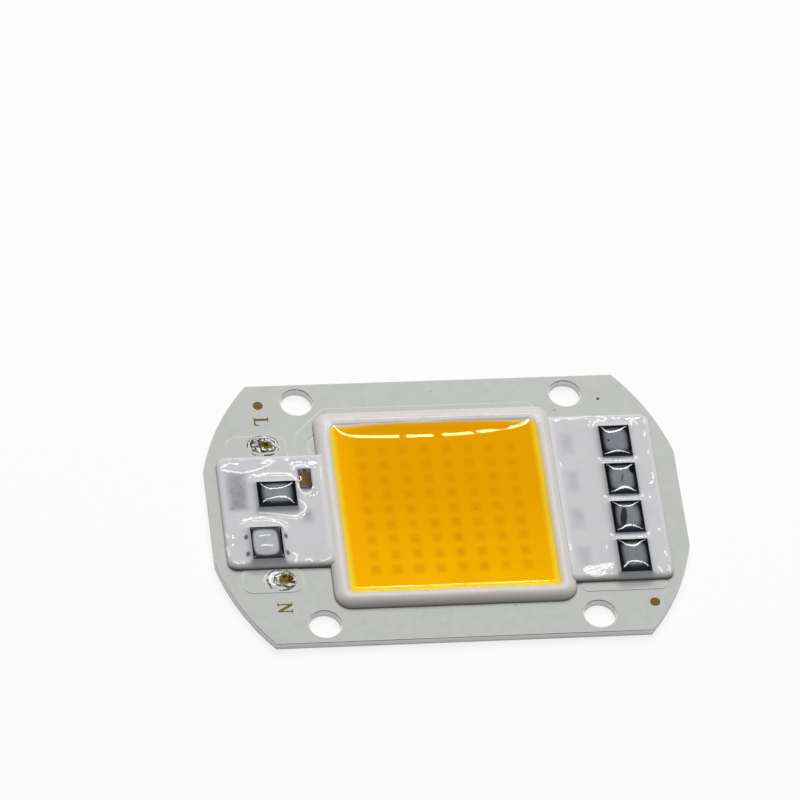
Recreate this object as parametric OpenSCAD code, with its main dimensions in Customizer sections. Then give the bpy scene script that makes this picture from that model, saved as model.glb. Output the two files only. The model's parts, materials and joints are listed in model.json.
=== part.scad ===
// Mains-voltage chip-on-board LED module. One aluminium-core board carries a square array of
// LED dies under a phosphor gel, and its own rectifier and linear drivers under clear silicone.
// X runs along the board, Y across it, +Z is the side that gives light.
// The origin is at the centre of the board's underside.

/* [Board] */
// Board left past each end of the dam's length
end_room = 14.7; // [14.6:0.1:15.5]
// Board left past each side of the dam
side_room = 4.8; // [4.6:0.1:5.6]
// How much wider than the board's length the round outline is that trims its corners
bulge = 1.8; // [1.6:0.1:3]
// Thickness of the aluminium plate
plate_t = 1; // [0.8:0.1:2]
// Thickness of the insulating layer on the plate
insulation_t = 0.1; // [0.06:0.01:0.15]
// Thickness of the copper
copper_t = 0.07; // [0.035:0.005:0.1]
// Thickness of the white solder mask
mask_t = 0.04; // [0.02:0.005:0.06]
// How far the middles of the screw holes lie past the dam's length
hole_past_x = 1.95; // [1.8:0.05:2.2]
// How far they lie past its width
hole_past_y = 2.05; // [2:0.05:2.3]
// Diameter of the screw holes
hole_d = 4; // [3:0.1:4.2]
// Gap between the hole's edge and the layers on the plate
hole_clear = 0.1; // [0.05:0.05:0.3]

/* [Light field] */
// Where the middle of the dam lies along the board
dam_x = -0.4; // [-0.6:0.1:0]
// Outer length of the dam, along X
dam_l = 30.6; // [29:0.1:34]
// Outer width of the dam, along Y
dam_w = 30.4; // [28:0.1:32]
// Width of the dam's bead at its foot
bead_w = 2.65; // [2:0.05:3]
// Height of the bead over the mask
bead_h = 1.05; // [0.95:0.05:1.4]
// Outer radius of the dam's corners
dam_r = 2.1; // [1.9:0.05:2.15]
// Height of the gel's rim over the mask
gel_rim = 0.75; // [0.6:0.05:0.8]
// How far the middle of the gel lies under its rim
gel_sag = 0.3; // [0.1:0.02:0.36]
// Width of the sloping border of the gel
gel_slope_w = 3; // [2:0.25:5]
// Size of one die along X
die_l = 1.1; // [0.7:0.05:1.4]
// Size of one die along Y
die_w = 1.3; // [0.9:0.05:1.5]
// Thickness of a die
die_t = 0.15; // [0.1:0.01:0.2]
// From the dam's inner foot to the middles of the end columns of dies
field_room_x = 3.06; // [2.8:0.02:4]
// From the dam's inner foot to the middles of the end dies in a column
field_room_y = 3.35; // [3.2:0.05:4]
// Gap between a bond and the edge of its die
bond_inset = 0.25; // [0.15:0.05:0.35]
// Diameter of the bond wires
wire_d = 0.025; // [0.02:0.005:0.03]
// Rise of a wire between its bonds
wire_rise = 0.16; // [0.1:0.02:0.2]
// Width of the copper fingers that the first and last wires land on
finger_w = 1; // [0.8:0.1:1.4]
// Gap from the end dies to those fingers' ends
finger_gap = 1.2; // [1:0.1:1.4]

/* [Silicone pads] */
// Height of the pads over the mask
pad_h = 0.8; // [0.75:0.05:0.95]
// Radius of the pads' top edges
pad_edge_r = 0.5; // [0.3:0.05:0.55]
// Radius of the pads' corners
pad_corner_r = 1.3; // [1:0.1:2]
// How far the input pad runs on past the fuse
input_over = 0.95; // [0.6:0.05:1]
// Far side of the input pad
input_pad_far = 8.6; // [8.2:0.1:8.8]
// Near side of the input pad
input_pad_near = 8.7; // [8.6:0.1:8.9]
// How far the driver pad runs on past the middles of the drivers
driver_over = 4.95; // [4.5:0.05:5.1]
// How far it runs on past the far driver
driver_over_far = 2.575; // [2.4:0.025:2.7]
// How far it runs on past the near driver
driver_over_near = 0.475; // [0.4:0.025:0.6]
// Radius of the silicone that climbs the sides of tall parts
climb_r = 0.75; // [0.4:0.05:0.9]
// Thickness of the silicone over the middle of a tall part
film_t = 0.15; // [0.1:0.01:0.25]
// Thickness of the silicone on a tall part's sides
skin_t = 0.06; // [0.04:0.01:0.08]

/* [Small-outline packages] */
// Body width across the leads
so_w = 3.9; // [3.6:0.1:4.1]
// Body length
so_l = 4.9; // [4.8:0.1:5.2]
// Body height
so_h = 1.4; // [1.2:0.05:1.6]
// Gap under the body
standoff = 0.1; // [0.05:0.01:0.15]
// How far the moulded sides lean in
draft = 0.1; // [0.05:0.01:0.2]
// Distance over the tips of the leads
so_span = 6; // [5.8:0.1:6.2]
// Spacing of the leads
so_pitch = 1.27; // [1:0.01:1.35]
// Width of a lead
so_lead_w = 0.4; // [0.3:0.05:0.5]
// Thickness of a lead
lead_t = 0.2; // [0.15:0.01:0.25]
// Length of a lead's foot
foot_l = 0.6; // [0.4:0.05:0.7]
// Diameter of the dimple that marks the first lead
dimple_d = 0.6; // [0.4:0.05:0.8]
// Depth of that dimple
dimple_depth = 0.08; // [0.04:0.01:0.12]

/* [Driver row] */
// From the dam's end to the middles of the drivers
driver_gap = 7.55; // [7.4:0.05:7.8]
// Middle of the row across the board
driver_y = -0.65; // [-0.8:0.05:0]
// Spacing of the drivers
driver_pitch = 5.95; // [5.6:0.05:6]
// Gap between the sense resistors and the row's own middle line
sense_shift = 0.4; // [0:0.1:0.6]
// From the dam's end to the middles of the sense resistors
sense_gap = 1.4; // [1.3:0.05:1.5]

/* [Input parts] */
// From the dam's end to the middle of the regulator
regulator_gap = 5.7; // [5.6:0.05:5.9]
// Middle of the regulator across the board
regulator_y = 1.85; // [1.5:0.05:2]
// From the dam's end to the middle of the rectifier
rectifier_gap = 7.7; // [7.5:0.05:7.9]
// Middle of the rectifier across the board
rectifier_y = -5.6; // [-5.65:0.05:-5.4]
// Rectifier body width across its leads
rectifier_w = 3.9; // [3.6:0.1:4.1]
// Rectifier body length
rectifier_l = 4.8; // [4.4:0.1:5]
// Spacing of the rectifier's leads
rectifier_pitch = 2.54; // [2.3:0.02:2.8]
// Distance over the tips of the rectifier's leads
rectifier_span = 6.2; // [6:0.1:6.4]
// Width of a rectifier lead
rectifier_lead_w = 0.65; // [0.5:0.05:0.8]
// From the dam's end to the middle of the capacitor
capacitor_gap = 1.86; // [1.76:0.02:1.96]
// Middle of the capacitor across the board
capacitor_y = 4.4; // [4.1:0.05:4.6]
// Height of the capacitor
capacitor_h = 1; // [0.9:0.05:1.2]
// From the dam's end to the middle of the fuse
fuse_gap = 10.6; // [10.4:0.05:10.7]
// Middle of the fuse across the board
fuse_y = 3; // [2.8:0.05:3.4]
// Length of the fuse
fuse_l = 6.1; // [5.8:0.1:6.3]
// Width of the fuse
fuse_w = 2.5; // [2:0.1:2.7]
// Height of the fuse
fuse_h = 0.5; // [0.4:0.02:0.56]
// From the dam's end to the middle of the bleed resistor
bleed_gap = 2.1; // [2:0.05:2.3]
// Middle of the bleed resistor across the board
bleed_y = -1.2; // [-1.5:0.05:-1]
// Length of the bleed resistor
bleed_l = 2; // [1.8:0.1:2.1]
// Width of the bleed resistor
bleed_w = 1.25; // [1:0.05:1.4]

/* [Chip parts] */
// Length of the capacitor and the sense resistors
chip_l = 3.2; // [3:0.1:3.4]
// Width of the capacitor and the sense resistors
chip_w = 1.6; // [1.3:0.1:1.7]
// Height of the chip resistors
chip_h = 0.5; // [0.4:0.02:0.56]
// Length of the metal ends
chip_end = 0.5; // [0.35:0.05:0.6]
// Thickness of the metal on the ends
chip_skin = 0.04; // [0.02:0.01:0.06]

/* [Soldering] */
// Thickness of the solder under leads and chip ends
solder_t = 0.03; // [0.02:0.01:0.04]
// How far the solder runs out past a lead or chip end
toe_l = 0.25; // [0.15:0.05:0.35]
// Copper left round the solder on each land
land_rim = 0.1; // [0.05:0.01:0.12]
// Bare ring between a land and the mask
land_clear = 0.05; // [0.03:0.01:0.06]
// Length of the two supply pads
supply_pad_l = 4.1; // [3.8:0.1:4.4]
// Width of the two supply pads
supply_pad_w = 3.1; // [2.8:0.1:3.2]
// Height of the tinned solder on them
tin_h = 0.4; // [0.25:0.05:0.6]
// From the dam's end to the middles of the supply pads
supply_gap = 6.5; // [6.3:0.1:6.7]
// Middle of the supply pads across the board
supply_pad_y = 10.45; // [10.4:0.05:10.6]

/* [Copper] */
// How far the two supply areas run past the middles of the pads
supply_area_past = 4.7; // [4.4:0.1:5]
// Length of the two supply areas
supply_area_l = 7.6; // [7.4:0.1:8]
// Outer side of the line area
line_area_y = 12; // [11.9:0.1:12.2]
// Outer side of the neutral area
neutral_area_y = 12.2; // [12.1:0.1:12.4]
// Corner radius of the supply areas
area_r = 1.4; // [0.8:0.1:1.6]
// Width of the bus that passes round the dam
bus_w = 1.6; // [1.4:0.1:1.7]
// How far the bus shows past the dam's end
bus_show_x = 2.44; // [2.34:0.05:2.54]
// How far the bus shows past the dam's side
bus_show_y = 0.8; // [0.7:0.05:0.9]
// Run of the bus's slanted corner at the line side
bus_corner = 3.6; // [3.4:0.1:3.8]
// How far before the dam's driver end the bus slants in
bus_turn = 3; // [2.8:0.1:3.3]
// Width of the narrower tracks
track_w = 1.1; // [0.9:0.05:1.15]
// Gap between neighbouring tracks
track_gap = 0.25; // [0.2:0.05:0.3]
// How far the driver track shows past the driver pad
driver_show = 1.3; // [1.1:0.1:1.5]
// Diameter of the gold alignment dots
dot_d = 1.2; // [0.8:0.1:1.6]
// Diameter of the small gold speck
speck_d = 0.35; // [0.3:0.05:0.6]
// Middle of the dot by the line pad
line_dot = [-22.2, 16.9];
// Middle of the dot by the driver pad
driver_dot = [24.4, -15.8];
// Middle of the speck by the driver pad
speck = [21.4, 16.2];

/* [Hidden] */
$fn = 48;
columns = 8;
rows = 9;
so_leads = 4;
drivers = 4;
eps = 0.01;
// Length over which a lead leaves its package before it bends
shoulder = 0.25;
// Sides of a bond wire and of its balls
wire_fn = 8;
ball_fn = 12;
ball_r = 0.045;
ball_h = 0.05;
// Depth by which a curve runs on past its plane
sink = 0.05;
under = 1.3;
// How far the gel's body stays off the dam's middle line
gel_tuck = 0.3;
// Bare rim of copper around the solder of a supply pad
tin_rim = 0.05;
// How far copper runs on under the pad of silicone
area_tuck = 0.2;
// Length over which a copper finger slants
finger_run = 1;
// Sides of the round outlines
bead_fn = 96;
round_fn = 180;
shallow_fn = 360;

// Heights of the layers
z_insulation = plate_t;
z_film = plate_t + insulation_t;
z_top = z_film + mask_t;
z_land = z_film + copper_t;
z_seat = z_land + solder_t;

// Board
board_l = dam_l + 2 * end_room;
board_w = dam_w + 2 * side_room;
board_d = board_l + bulge;
hole_x = dam_l / 2 + hole_past_x;
hole_y = dam_w / 2 + hole_past_y;

// Dam and gel
dam_left = dam_x - dam_l / 2;
dam_right = dam_x + dam_l / 2;
bead_r = (bead_w * bead_w / 4 + bead_h * bead_h) / (2 * bead_h);
bead_z = z_top + bead_h - bead_r;
line_l = dam_l - bead_w;
line_w = dam_w - bead_w;
rim_z = z_top + gel_rim;
// Half size of the gel's surface, where it meets the bead
reach = sqrt(bead_r * bead_r - pow(rim_z - bead_z, 2));
// Up to the gel's rim the four inner sides of the bead meet in plain corners
line_r = min(dam_r - bead_w / 2, reach - eps);
gel_half_l = line_l / 2 - reach;
gel_half_w = line_w / 2 - reach;
// The gel reaches in under the bead's round side, but not to its middle line
gel_box_l = line_l - gel_tuck;
gel_box_w = line_w - gel_tuck;
gel_arc_r = (gel_slope_w * gel_slope_w + gel_sag * gel_sag) / (2 * gel_sag);

// Die array
die_pitch_x = (line_l - bead_w - 2 * field_room_x) / (columns - 1);
die_pitch_y = (line_w - bead_w - 2 * field_room_y) / (rows - 1);

// Places along the board
driver_x = dam_right + driver_gap;
sense_x = dam_right + sense_gap;
regulator_x = dam_left - regulator_gap;
rectifier_x = dam_left - rectifier_gap;
capacitor_x = dam_left - capacitor_gap;
fuse_x = dam_left - fuse_gap;
bleed_x = dam_left - bleed_gap;
supply_pad_x = dam_left - supply_gap;
supply_area_x = supply_pad_x - supply_area_past;
input_pad_end = fuse_x - fuse_w / 2 - input_over;
driver_pad_end = driver_x + driver_over;
driver_pad_far = driver_row_y(drivers) + so_l / 2 + driver_over_far;
driver_pad_near = driver_row_y(1) - so_l / 2 - driver_over_near;

// Pads
pad_z = z_top + pad_h;
body_z = z_seat + standoff;
so_top = body_z + so_h;
so_ys = [for (k = [0 : so_leads - 1]) (k - (so_leads - 1) / 2) * so_pitch];
rectifier_ys = [-rectifier_pitch / 2, rectifier_pitch / 2];

// Copper routes
bus_x = dam_left - bus_show_x + bus_w / 2;
bus_turn_x = dam_right - bus_turn;
bus_y = dam_w / 2 + bus_show_y - bus_w / 2;
feed_x = bus_x + bus_w / 2 + track_gap + track_w / 2;
feed_y = bus_y - bus_w / 2 - track_gap - track_w / 2;
lane = (feed_x - bus_x) * (2 - sqrt(2));
finger_y = (rows - 1) / 2 * die_pitch_y + die_w / 2 + finger_gap;
first_x = die_x(1);
last_x = die_x(columns);
top_lead_y = driver_row_y(drivers) + so_ys[so_leads - 1];
low_lead_y = driver_row_y(1) + so_ys[0];
return_y = max(driver_row_y(drivers) + so_l / 2 + so_lead_w, finger_y);
bus_run_y = return_y + so_lead_w / 2 + track_gap + bus_w / 2;
bus_drop = bus_y - bus_run_y;
driver_track_y = driver_pad_near - driver_show + bus_w / 2;
sense_track_x = (sense_x + chip_w / 2 + driver_x - so_span / 2 - toe_l) / 2;

function die_x(column) = dam_x + (column - (columns + 1) / 2) * die_pitch_x;
function die_y(row) = (row - (rows + 1) / 2) * die_pitch_y;
function driver_row_y(i) = driver_y + (i - (drivers + 1) / 2) * driver_pitch;

// ---------- plane shapes ----------

// A rectangle with round corners, from its two opposite corners
module round_box(low, high, r) {
    translate([low.x + r, low.y]) square([high.x - low.x - 2 * r, high.y - low.y]);
    translate([low.x, low.y + r]) square([high.x - low.x, high.y - low.y - 2 * r]);
    for (x = [low.x + r, high.x - r], y = [low.y + r, high.y - r])
        translate([x, y]) circle(r);
}

// A track of even width through its points, with round ends and joints
module track(points, w) {
    for (p = points) translate(p) circle(w / 2);
    for (i = [1 : len(points) - 1]) {
        step = points[i] - points[i - 1];
        translate(points[i - 1]) rotate(atan2(step.y, step.x))
            translate([0, -w / 2]) square([norm(step), w]);
    }
}

module board_outline(grow = 0) {
    intersection() {
        square([board_l + 2 * grow, board_w + 2 * grow], center = true);
        circle(d = board_d + 2 * grow, $fn = round_fn);
    }
}

module screw_holes(d) {
    for (x = [-1, 1], y = [-1, 1])
        translate([x * hole_x, y * hole_y]) circle(d = d);
}

module pad_shape(y_side, grow = 0) {
    run = (supply_pad_l - supply_pad_w) / 2;
    translate([supply_pad_x, y_side * supply_pad_y])
        track([[-run, 0], [run, 0]], supply_pad_w + 2 * grow);
}

// ---------- lands ----------

// Where a row of leads or a pair of chip ends is soldered. The parts' own X points across the leads.
module foot_land(tip, foot, w, side, y, grow) {
    inner = tip - foot - land_rim - grow;
    outer = tip + toe_l + land_rim + grow;
    translate([side == 0 ? inner : -outer, y - w / 2 - land_rim - grow])
        square([outer - inner, w + 2 * (land_rim + grow)]);
}

module foot_lands(tip, foot, w, ys, grow) {
    for (side = [0, 1], y = ys) foot_land(tip, foot, w, side, y, grow);
}

module so_lands(grow) foot_lands(so_span / 2, foot_l, so_lead_w, so_ys, grow);
module chip_land(l, w, side, grow) rotate(90) foot_land(l / 2, chip_end, w, side, 0, grow);
module chip_lands(l, w, grow) for (side = [0, 1]) chip_land(l, w, side, grow);
module rectifier_land(side, k, grow) {
    foot_land(rectifier_span / 2, foot_l, rectifier_lead_w, side, rectifier_ys[k], grow);
}

module at_driver(i) translate([driver_x, driver_row_y(i)]) children();
module at_sense(i) translate([sense_x, driver_row_y(i) + sense_shift]) children();
module at_regulator() translate([regulator_x, regulator_y]) rotate(90) children();
module at_rectifier() translate([rectifier_x, rectifier_y]) children();
module at_capacitor() translate([capacitor_x, capacitor_y]) children();
module at_fuse() translate([fuse_x, fuse_y]) children();
module at_bleed() translate([bleed_x, bleed_y]) children();

module all_lands(grow) {
    for (i = [1 : drivers]) {
        at_driver(i) so_lands(grow);
        at_sense(i) chip_lands(chip_l, chip_w, grow);
    }
    at_regulator() so_lands(grow);
    at_rectifier() for (side = [0, 1], k = [0, 1]) rectifier_land(side, k, grow);
    at_capacitor() chip_lands(chip_l, chip_w, grow);
    at_fuse() chip_lands(fuse_l, fuse_w, grow);
    at_bleed() chip_lands(bleed_l, bleed_w, grow);
}

// ---------- copper areas ----------

rectifier_foot_x = rectifier_x - rectifier_span / 2 + foot_l / 2;
rectifier_foot_right = rectifier_x + rectifier_span / 2 - foot_l / 2;
fuse_far = fuse_y + fuse_l / 2;
fuse_near = fuse_y - fuse_l / 2;

module line_area(grow) {
    round_box([supply_area_x - grow, fuse_far - grow],
              [supply_area_x + supply_area_l + grow, line_area_y + grow], area_r + grow);
    line_land(grow);
}

// The lands that the copper areas feed
module line_land(grow) at_fuse() chip_land(fuse_l, fuse_w, 0, grow);
module fused_lands(grow) {
    at_fuse() chip_land(fuse_l, fuse_w, 1, grow);
    at_rectifier() rectifier_land(1, 1, grow);
}
module neutral_land(grow) at_rectifier() rectifier_land(1, 0, grow);
module bus_land(grow) at_capacitor() chip_land(chip_l, chip_w, 0, grow);
module feed_land(grow) at_rectifier() rectifier_land(0, 1, grow);
module return_land(grow) {
    at_driver(drivers) foot_land(so_span / 2, foot_l, so_lead_w, 1, so_ys[so_leads - 1], grow);
}
module driver_land(grow) {
    at_driver(1) foot_land(so_span / 2, foot_l, so_lead_w, 1, so_ys[0], grow);
}

module fed_lands(grow) {
    line_land(grow);
    fused_lands(grow);
    neutral_land(grow);
    bus_land(grow);
    feed_land(grow);
    return_land(grow);
    driver_land(grow);
}

module fused_area(grow) {
    fused_lands(grow);
    track([[fuse_x, fuse_near], [rectifier_foot_x, rectifier_y + rectifier_pitch / 2]],
          rectifier_lead_w + 2 * grow);
}

module neutral_area(grow) {
    round_box([supply_area_x - grow, -neutral_area_y - grow],
              [supply_area_x + supply_area_l + grow, -input_pad_near + area_tuck + grow],
              area_r + grow);
    track([[rectifier_foot_x, rectifier_y - rectifier_pitch / 2],
           [rectifier_foot_x, -input_pad_near - area_r]], rectifier_lead_w + 2 * grow);
    neutral_land(grow);
}

module bus_area(grow) {
    track([[bus_x, capacitor_y + chip_l / 2], [bus_x, bus_y - bus_corner],
           [bus_x + bus_corner, bus_y], [bus_turn_x, bus_y],
           [bus_turn_x + bus_drop, bus_run_y], [driver_x, bus_run_y]],
          bus_w + 2 * grow);
    bus_land(grow);
}

module feed_area(grow) {
    track([[rectifier_foot_right, rectifier_y + rectifier_pitch / 2],
           [feed_x, rectifier_y + rectifier_pitch / 2],
           [feed_x, bus_y - bus_corner - lane], [feed_x + bus_corner - track_w, feed_y],
           [first_x, feed_y], [first_x, finger_y]], track_w + 2 * grow);
    feed_land(grow);
}

module return_area(grow) {
    track([[last_x, finger_y], [last_x + finger_run, return_y]], finger_w + 2 * grow);
    track([[last_x + finger_run, return_y], [driver_x - so_span / 2, return_y],
           [driver_x - so_span / 2, top_lead_y]], so_lead_w + 2 * grow);
    return_land(grow);
}

module driver_area(grow) {
    track([[sense_x, driver_track_y], [driver_x + so_span / 2, driver_track_y]], bus_w + 2 * grow);
    track([[sense_track_x, driver_track_y], [sense_track_x, driver_row_y(drivers)]],
          so_lead_w + 2 * grow);
    track([[driver_x - so_span / 2, driver_track_y], [driver_x - so_span / 2, low_lead_y]],
          so_lead_w + 2 * grow);
    driver_land(grow);
}

module copper_areas(grow) {
    line_area(grow);
    fused_area(grow);
    neutral_area(grow);
    bus_area(grow);
    feed_area(grow);
    return_area(grow);
    driver_area(grow);
}

// ---------- board and layers ----------

module layer(z, t) translate([0, 0, z]) linear_extrude(t) children();

module base_plate() {
    color([0.78, 0.79, 0.8]) layer(0, plate_t) difference() {
        board_outline();
        screw_holes(hole_d);
    }
}

module insulation_layer() {
    color([0.9, 0.9, 0.86]) layer(z_insulation, insulation_t) difference() {
        board_outline();
        screw_holes(hole_d + 2 * hole_clear);
    }
}

module copper() color([0.72, 0.45, 0.2]) layer(z_film, copper_t) children();

module line_copper() copper() line_area(0);
module fused_copper() copper() fused_area(0);
module neutral_copper() copper() neutral_area(0);
module bus_copper() copper() bus_area(0);
module feed_copper() copper() feed_area(0);
module return_copper() copper() return_area(0);
module driver_copper() copper() driver_area(0);
module component_lands() copper() difference() {
    all_lands(0);
    fed_lands(eps);
}

module die_window() {
    translate([dam_x, 0]) square([line_l, line_w], center = true);
}

// The white film with its raised runs over the copper, before any opening is made in it
module film_blank() {
    difference() {
        union() {
            layer(z_film, mask_t) board_outline();
            layer(z_film, copper_t + mask_t) copper_areas(mask_t);
        }
        layer(z_film - eps, copper_t + mask_t + 2 * eps) die_window();
    }
}

module solder_mask() {
    color([0.93, 0.93, 0.92]) difference() {
        film_blank();
        layer(z_film - eps, copper_t + eps) copper_areas(0);
        layer(z_film - eps, copper_t + mask_t + 2 * eps) {
            screw_holes(hole_d + 2 * hole_clear);
            all_lands(land_clear);
            pad_shape(1);
            pad_shape(-1);
            gold_shapes(land_clear);
        }
    }
}

module gold_shapes(grow) {
    translate(line_dot) circle(d = dot_d + 2 * grow);
    translate(driver_dot) circle(d = dot_d + 2 * grow);
    translate(speck) circle(d = speck_d + 2 * grow);
}

module gold_marks() color([0.62, 0.5, 0.25]) layer(z_film, copper_t) gold_shapes(0);

// ---------- solder ----------

// Tinned solder on a supply pad: a low crown, long the way the pad is long
module tinned_pad(y_side) {
    run = (supply_pad_l - supply_pad_w) / 2;
    half = supply_pad_w / 2 - tin_rim;
    crown_r = (half * half + tin_h * tin_h) / (2 * tin_h);
    crown_z = z_land + tin_h - crown_r;
    translate([supply_pad_x, y_side * supply_pad_y, 0]) {
        intersection() {
            translate([0, 0, crown_z]) rotate([0, 90, 0])
                cylinder(r = crown_r, h = 2 * run, center = true, $fn = round_fn);
            translate([-run, -half, z_land]) cube([2 * run, 2 * half, 2 * tin_h]);
        }
        for (side = [0, 1]) mirror([side, 0, 0]) translate([run, 0, 0])
            rotate([0, 0, -90]) rotate_extrude(angle = 180) intersection() {
                translate([0, crown_z]) circle(crown_r, $fn = round_fn);
                translate([0, z_land]) square([half, 2 * tin_h]);
            }
    }
}

module line_solder() color([0.78, 0.78, 0.76]) tinned_pad(1);
module neutral_solder() color([0.78, 0.78, 0.76]) tinned_pad(-1);

// Solder under a foot, with the slope that it runs up in front of it
module foot_solder(tip, foot, w, h, ys) {
    for (side = [0, 1], y = ys) mirror([side, 0, 0])
        translate([0, y + w / 2, 0]) rotate([90, 0, 0]) linear_extrude(w) polygon([
            [tip - foot, z_land], [tip + toe_l, z_land], [tip, z_seat + h * 2 / 3],
            [tip, z_seat], [tip - foot, z_seat]]);
}

module so_solder() foot_solder(so_span / 2, foot_l, so_lead_w, lead_t, so_ys);
module rectifier_solder() {
    foot_solder(rectifier_span / 2, foot_l, rectifier_lead_w, lead_t, rectifier_ys);
}
module chip_solder(l, w, h) rotate([0, 0, 90]) foot_solder(l / 2, chip_end, w, h, [0]);

module driver_side_solder() {
    for (i = [1 : drivers]) {
        at_driver(i) so_solder();
        at_sense(i) chip_solder(chip_l, chip_w, chip_h);
    }
}

module input_side_solder() {
    at_regulator() so_solder();
    at_rectifier() rectifier_solder();
    at_capacitor() chip_solder(chip_l, chip_w, capacitor_h);
    at_fuse() chip_solder(fuse_l, fuse_w, fuse_h);
    at_bleed() chip_solder(bleed_l, bleed_w, chip_h);
}

module component_solder() color([0.75, 0.75, 0.74]) {
    driver_side_solder();
    input_side_solder();
}

// ---------- packages ----------

// Section of a moulded body: a straight band where the leads leave it, leaning sides over and under
module body_section(w) {
    mid = body_z + so_h / 2;
    polygon([[-w / 2 + draft, body_z], [w / 2 - draft, body_z],
             [w / 2, mid - lead_t / 2], [w / 2, mid + lead_t / 2],
             [w / 2 - draft, so_top], [-w / 2 + draft, so_top],
             [-w / 2, mid + lead_t / 2], [-w / 2, mid - lead_t / 2]]);
}

module moulded_body(w, l) {
    intersection() {
        translate([0, l / 2, 0]) rotate([90, 0, 0]) linear_extrude(l) body_section(w);
        translate([-w / 2, 0, 0]) rotate([90, 0, 90]) linear_extrude(w) body_section(l);
    }
}

module so_body() {
    difference() {
        moulded_body(so_w, so_l);
        translate([-so_w / 2 + dimple_d + draft, so_l / 2 - dimple_d - draft, so_top - dimple_depth])
            cylinder(d = dimple_d, h = 2 * dimple_depth);
    }
}

// Gull-wing leads: out of the body's band, down, and flat on the solder
module gull_leads(w, span, lead_w, ys) {
    mid = body_z + so_h / 2;
    heel = span / 2 - foot_l;
    for (side = [0, 1], y = ys) mirror([side, 0, 0])
        translate([0, y + lead_w / 2, 0]) rotate([90, 0, 0]) linear_extrude(lead_w) polygon([
            [w / 2, mid + lead_t / 2], [w / 2 + shoulder, mid + lead_t / 2],
            [heel + lead_t / 2, z_seat + lead_t], [span / 2, z_seat + lead_t],
            [span / 2, z_seat], [heel, z_seat],
            [w / 2 + shoulder - lead_t / 2, mid - lead_t / 2], [w / 2, mid - lead_t / 2]]);
}

module so_leads_all() gull_leads(so_w, so_span, so_lead_w, so_ys);
module rectifier_leads_all() {
    gull_leads(rectifier_w, rectifier_span, rectifier_lead_w, rectifier_ys);
}

// A chip part lies along Y: a bar, and a metal cap round each of its ends
module chip_bar(l, w, h) {
    translate([-w / 2 + chip_skin, -l / 2 + chip_skin, z_seat + chip_skin])
        cube([w - 2 * chip_skin, l - 2 * chip_skin, h - 2 * chip_skin]);
}

module chip_caps(l, w, h) {
    difference() {
        for (side = [0, 1]) mirror([0, side, 0])
            translate([-w / 2, l / 2 - chip_end, z_seat]) cube([w, chip_end, h]);
        chip_bar(l, w, h);
    }
}

module driver_body(i) color([0.1, 0.1, 0.11]) at_driver(i) so_body();
module driver_leads(i) color([0.7, 0.7, 0.7]) at_driver(i) so_leads_all();
module regulator_body() color([0.1, 0.1, 0.11]) at_regulator() so_body();
module regulator_leads() color([0.7, 0.7, 0.7]) at_regulator() so_leads_all();
module rectifier_body() color([0.15, 0.15, 0.16]) at_rectifier() moulded_body(rectifier_w, rectifier_l);
module rectifier_leads() color([0.7, 0.7, 0.7]) at_rectifier() rectifier_leads_all();
module capacitor_body() color([0.37, 0.29, 0.17]) at_capacitor() chip_bar(chip_l, chip_w, capacitor_h);
module capacitor_ends() color([0.45, 0.44, 0.43]) at_capacitor() chip_caps(chip_l, chip_w, capacitor_h);
module fuse_body() color([0.6, 0.61, 0.65]) at_fuse() chip_bar(fuse_l, fuse_w, fuse_h);
module fuse_ends() color([0.7, 0.7, 0.7]) at_fuse() chip_caps(fuse_l, fuse_w, fuse_h);
module bleed_body() color([0.2, 0.2, 0.22]) at_bleed() chip_bar(bleed_l, bleed_w, chip_h);
module bleed_ends() color([0.7, 0.7, 0.7]) at_bleed() chip_caps(bleed_l, bleed_w, chip_h);
module sense_bodies() color([0.2, 0.2, 0.22]) {
    for (i = [1 : drivers]) at_sense(i) chip_bar(chip_l, chip_w, chip_h);
}
module sense_ends() color([0.7, 0.7, 0.7]) {
    for (i = [1 : drivers]) at_sense(i) chip_caps(chip_l, chip_w, chip_h);
}

// ---------- light field ----------

// One column of dies
module die_column(column) {
    color([0.35, 0.55, 0.75]) for (row = [1 : rows])
        translate([die_x(column) - die_l / 2, die_y(row) - die_w / 2, z_film])
            cube([die_l, die_w, die_t]);
}

// A wire that rises and falls along a round arc, with a flat ball at each foot
module bond_wire(from, to) {
    step = to - from;
    flat = norm([step.x, step.y]);
    chord = norm(step);
    r = (chord * chord / 4 + wire_rise * wire_rise) / (2 * wire_rise);
    half = asin(chord / 2 / r);
    translate((from + to) / 2) rotate([0, 0, atan2(step.y, step.x)])
        rotate([0, -atan2(step.z, flat), 0]) translate([0, 0, wire_rise - r])
            rotate([90, 0, 0]) rotate([0, 0, 90 - half])
                rotate_extrude(angle = 2 * half) translate([r, 0])
                    circle(d = wire_d, $fn = wire_fn);
    for (p = [from, to]) translate([p.x, p.y, p.z - ball_h + wire_d / 2])
        cylinder(r = ball_r, h = ball_h, $fn = ball_fn);
}

function bond_point(column, row, side) =
    [die_x(column), die_y(row) + side * (die_w / 2 - bond_inset), z_film + die_t + ball_h - wire_d / 2];
function finger_point(x) = [x, finger_y, z_land + ball_h - wire_d / 2];

// The string snakes through the columns, from the feed finger to the return finger
module bond_wires() {
    color([0.85, 0.68, 0.3]) {
        for (column = [1 : columns], row = [1 : rows - 1])
            bond_wire(bond_point(column, row, 1), bond_point(column, row + 1, -1));
        for (column = [1 : columns - 1]) {
            far = column % 2 == 0;
            bond_wire(bond_point(column, far ? rows : 1, far ? 1 : -1),
                      bond_point(column + 1, far ? rows : 1, far ? 1 : -1));
        }
        for (x = [first_x, last_x])
            bond_wire([x, die_y(rows) + die_w / 2 - bond_inset, bond_point(1, 1, 1).z],
                      finger_point(x));
    }
}

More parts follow.
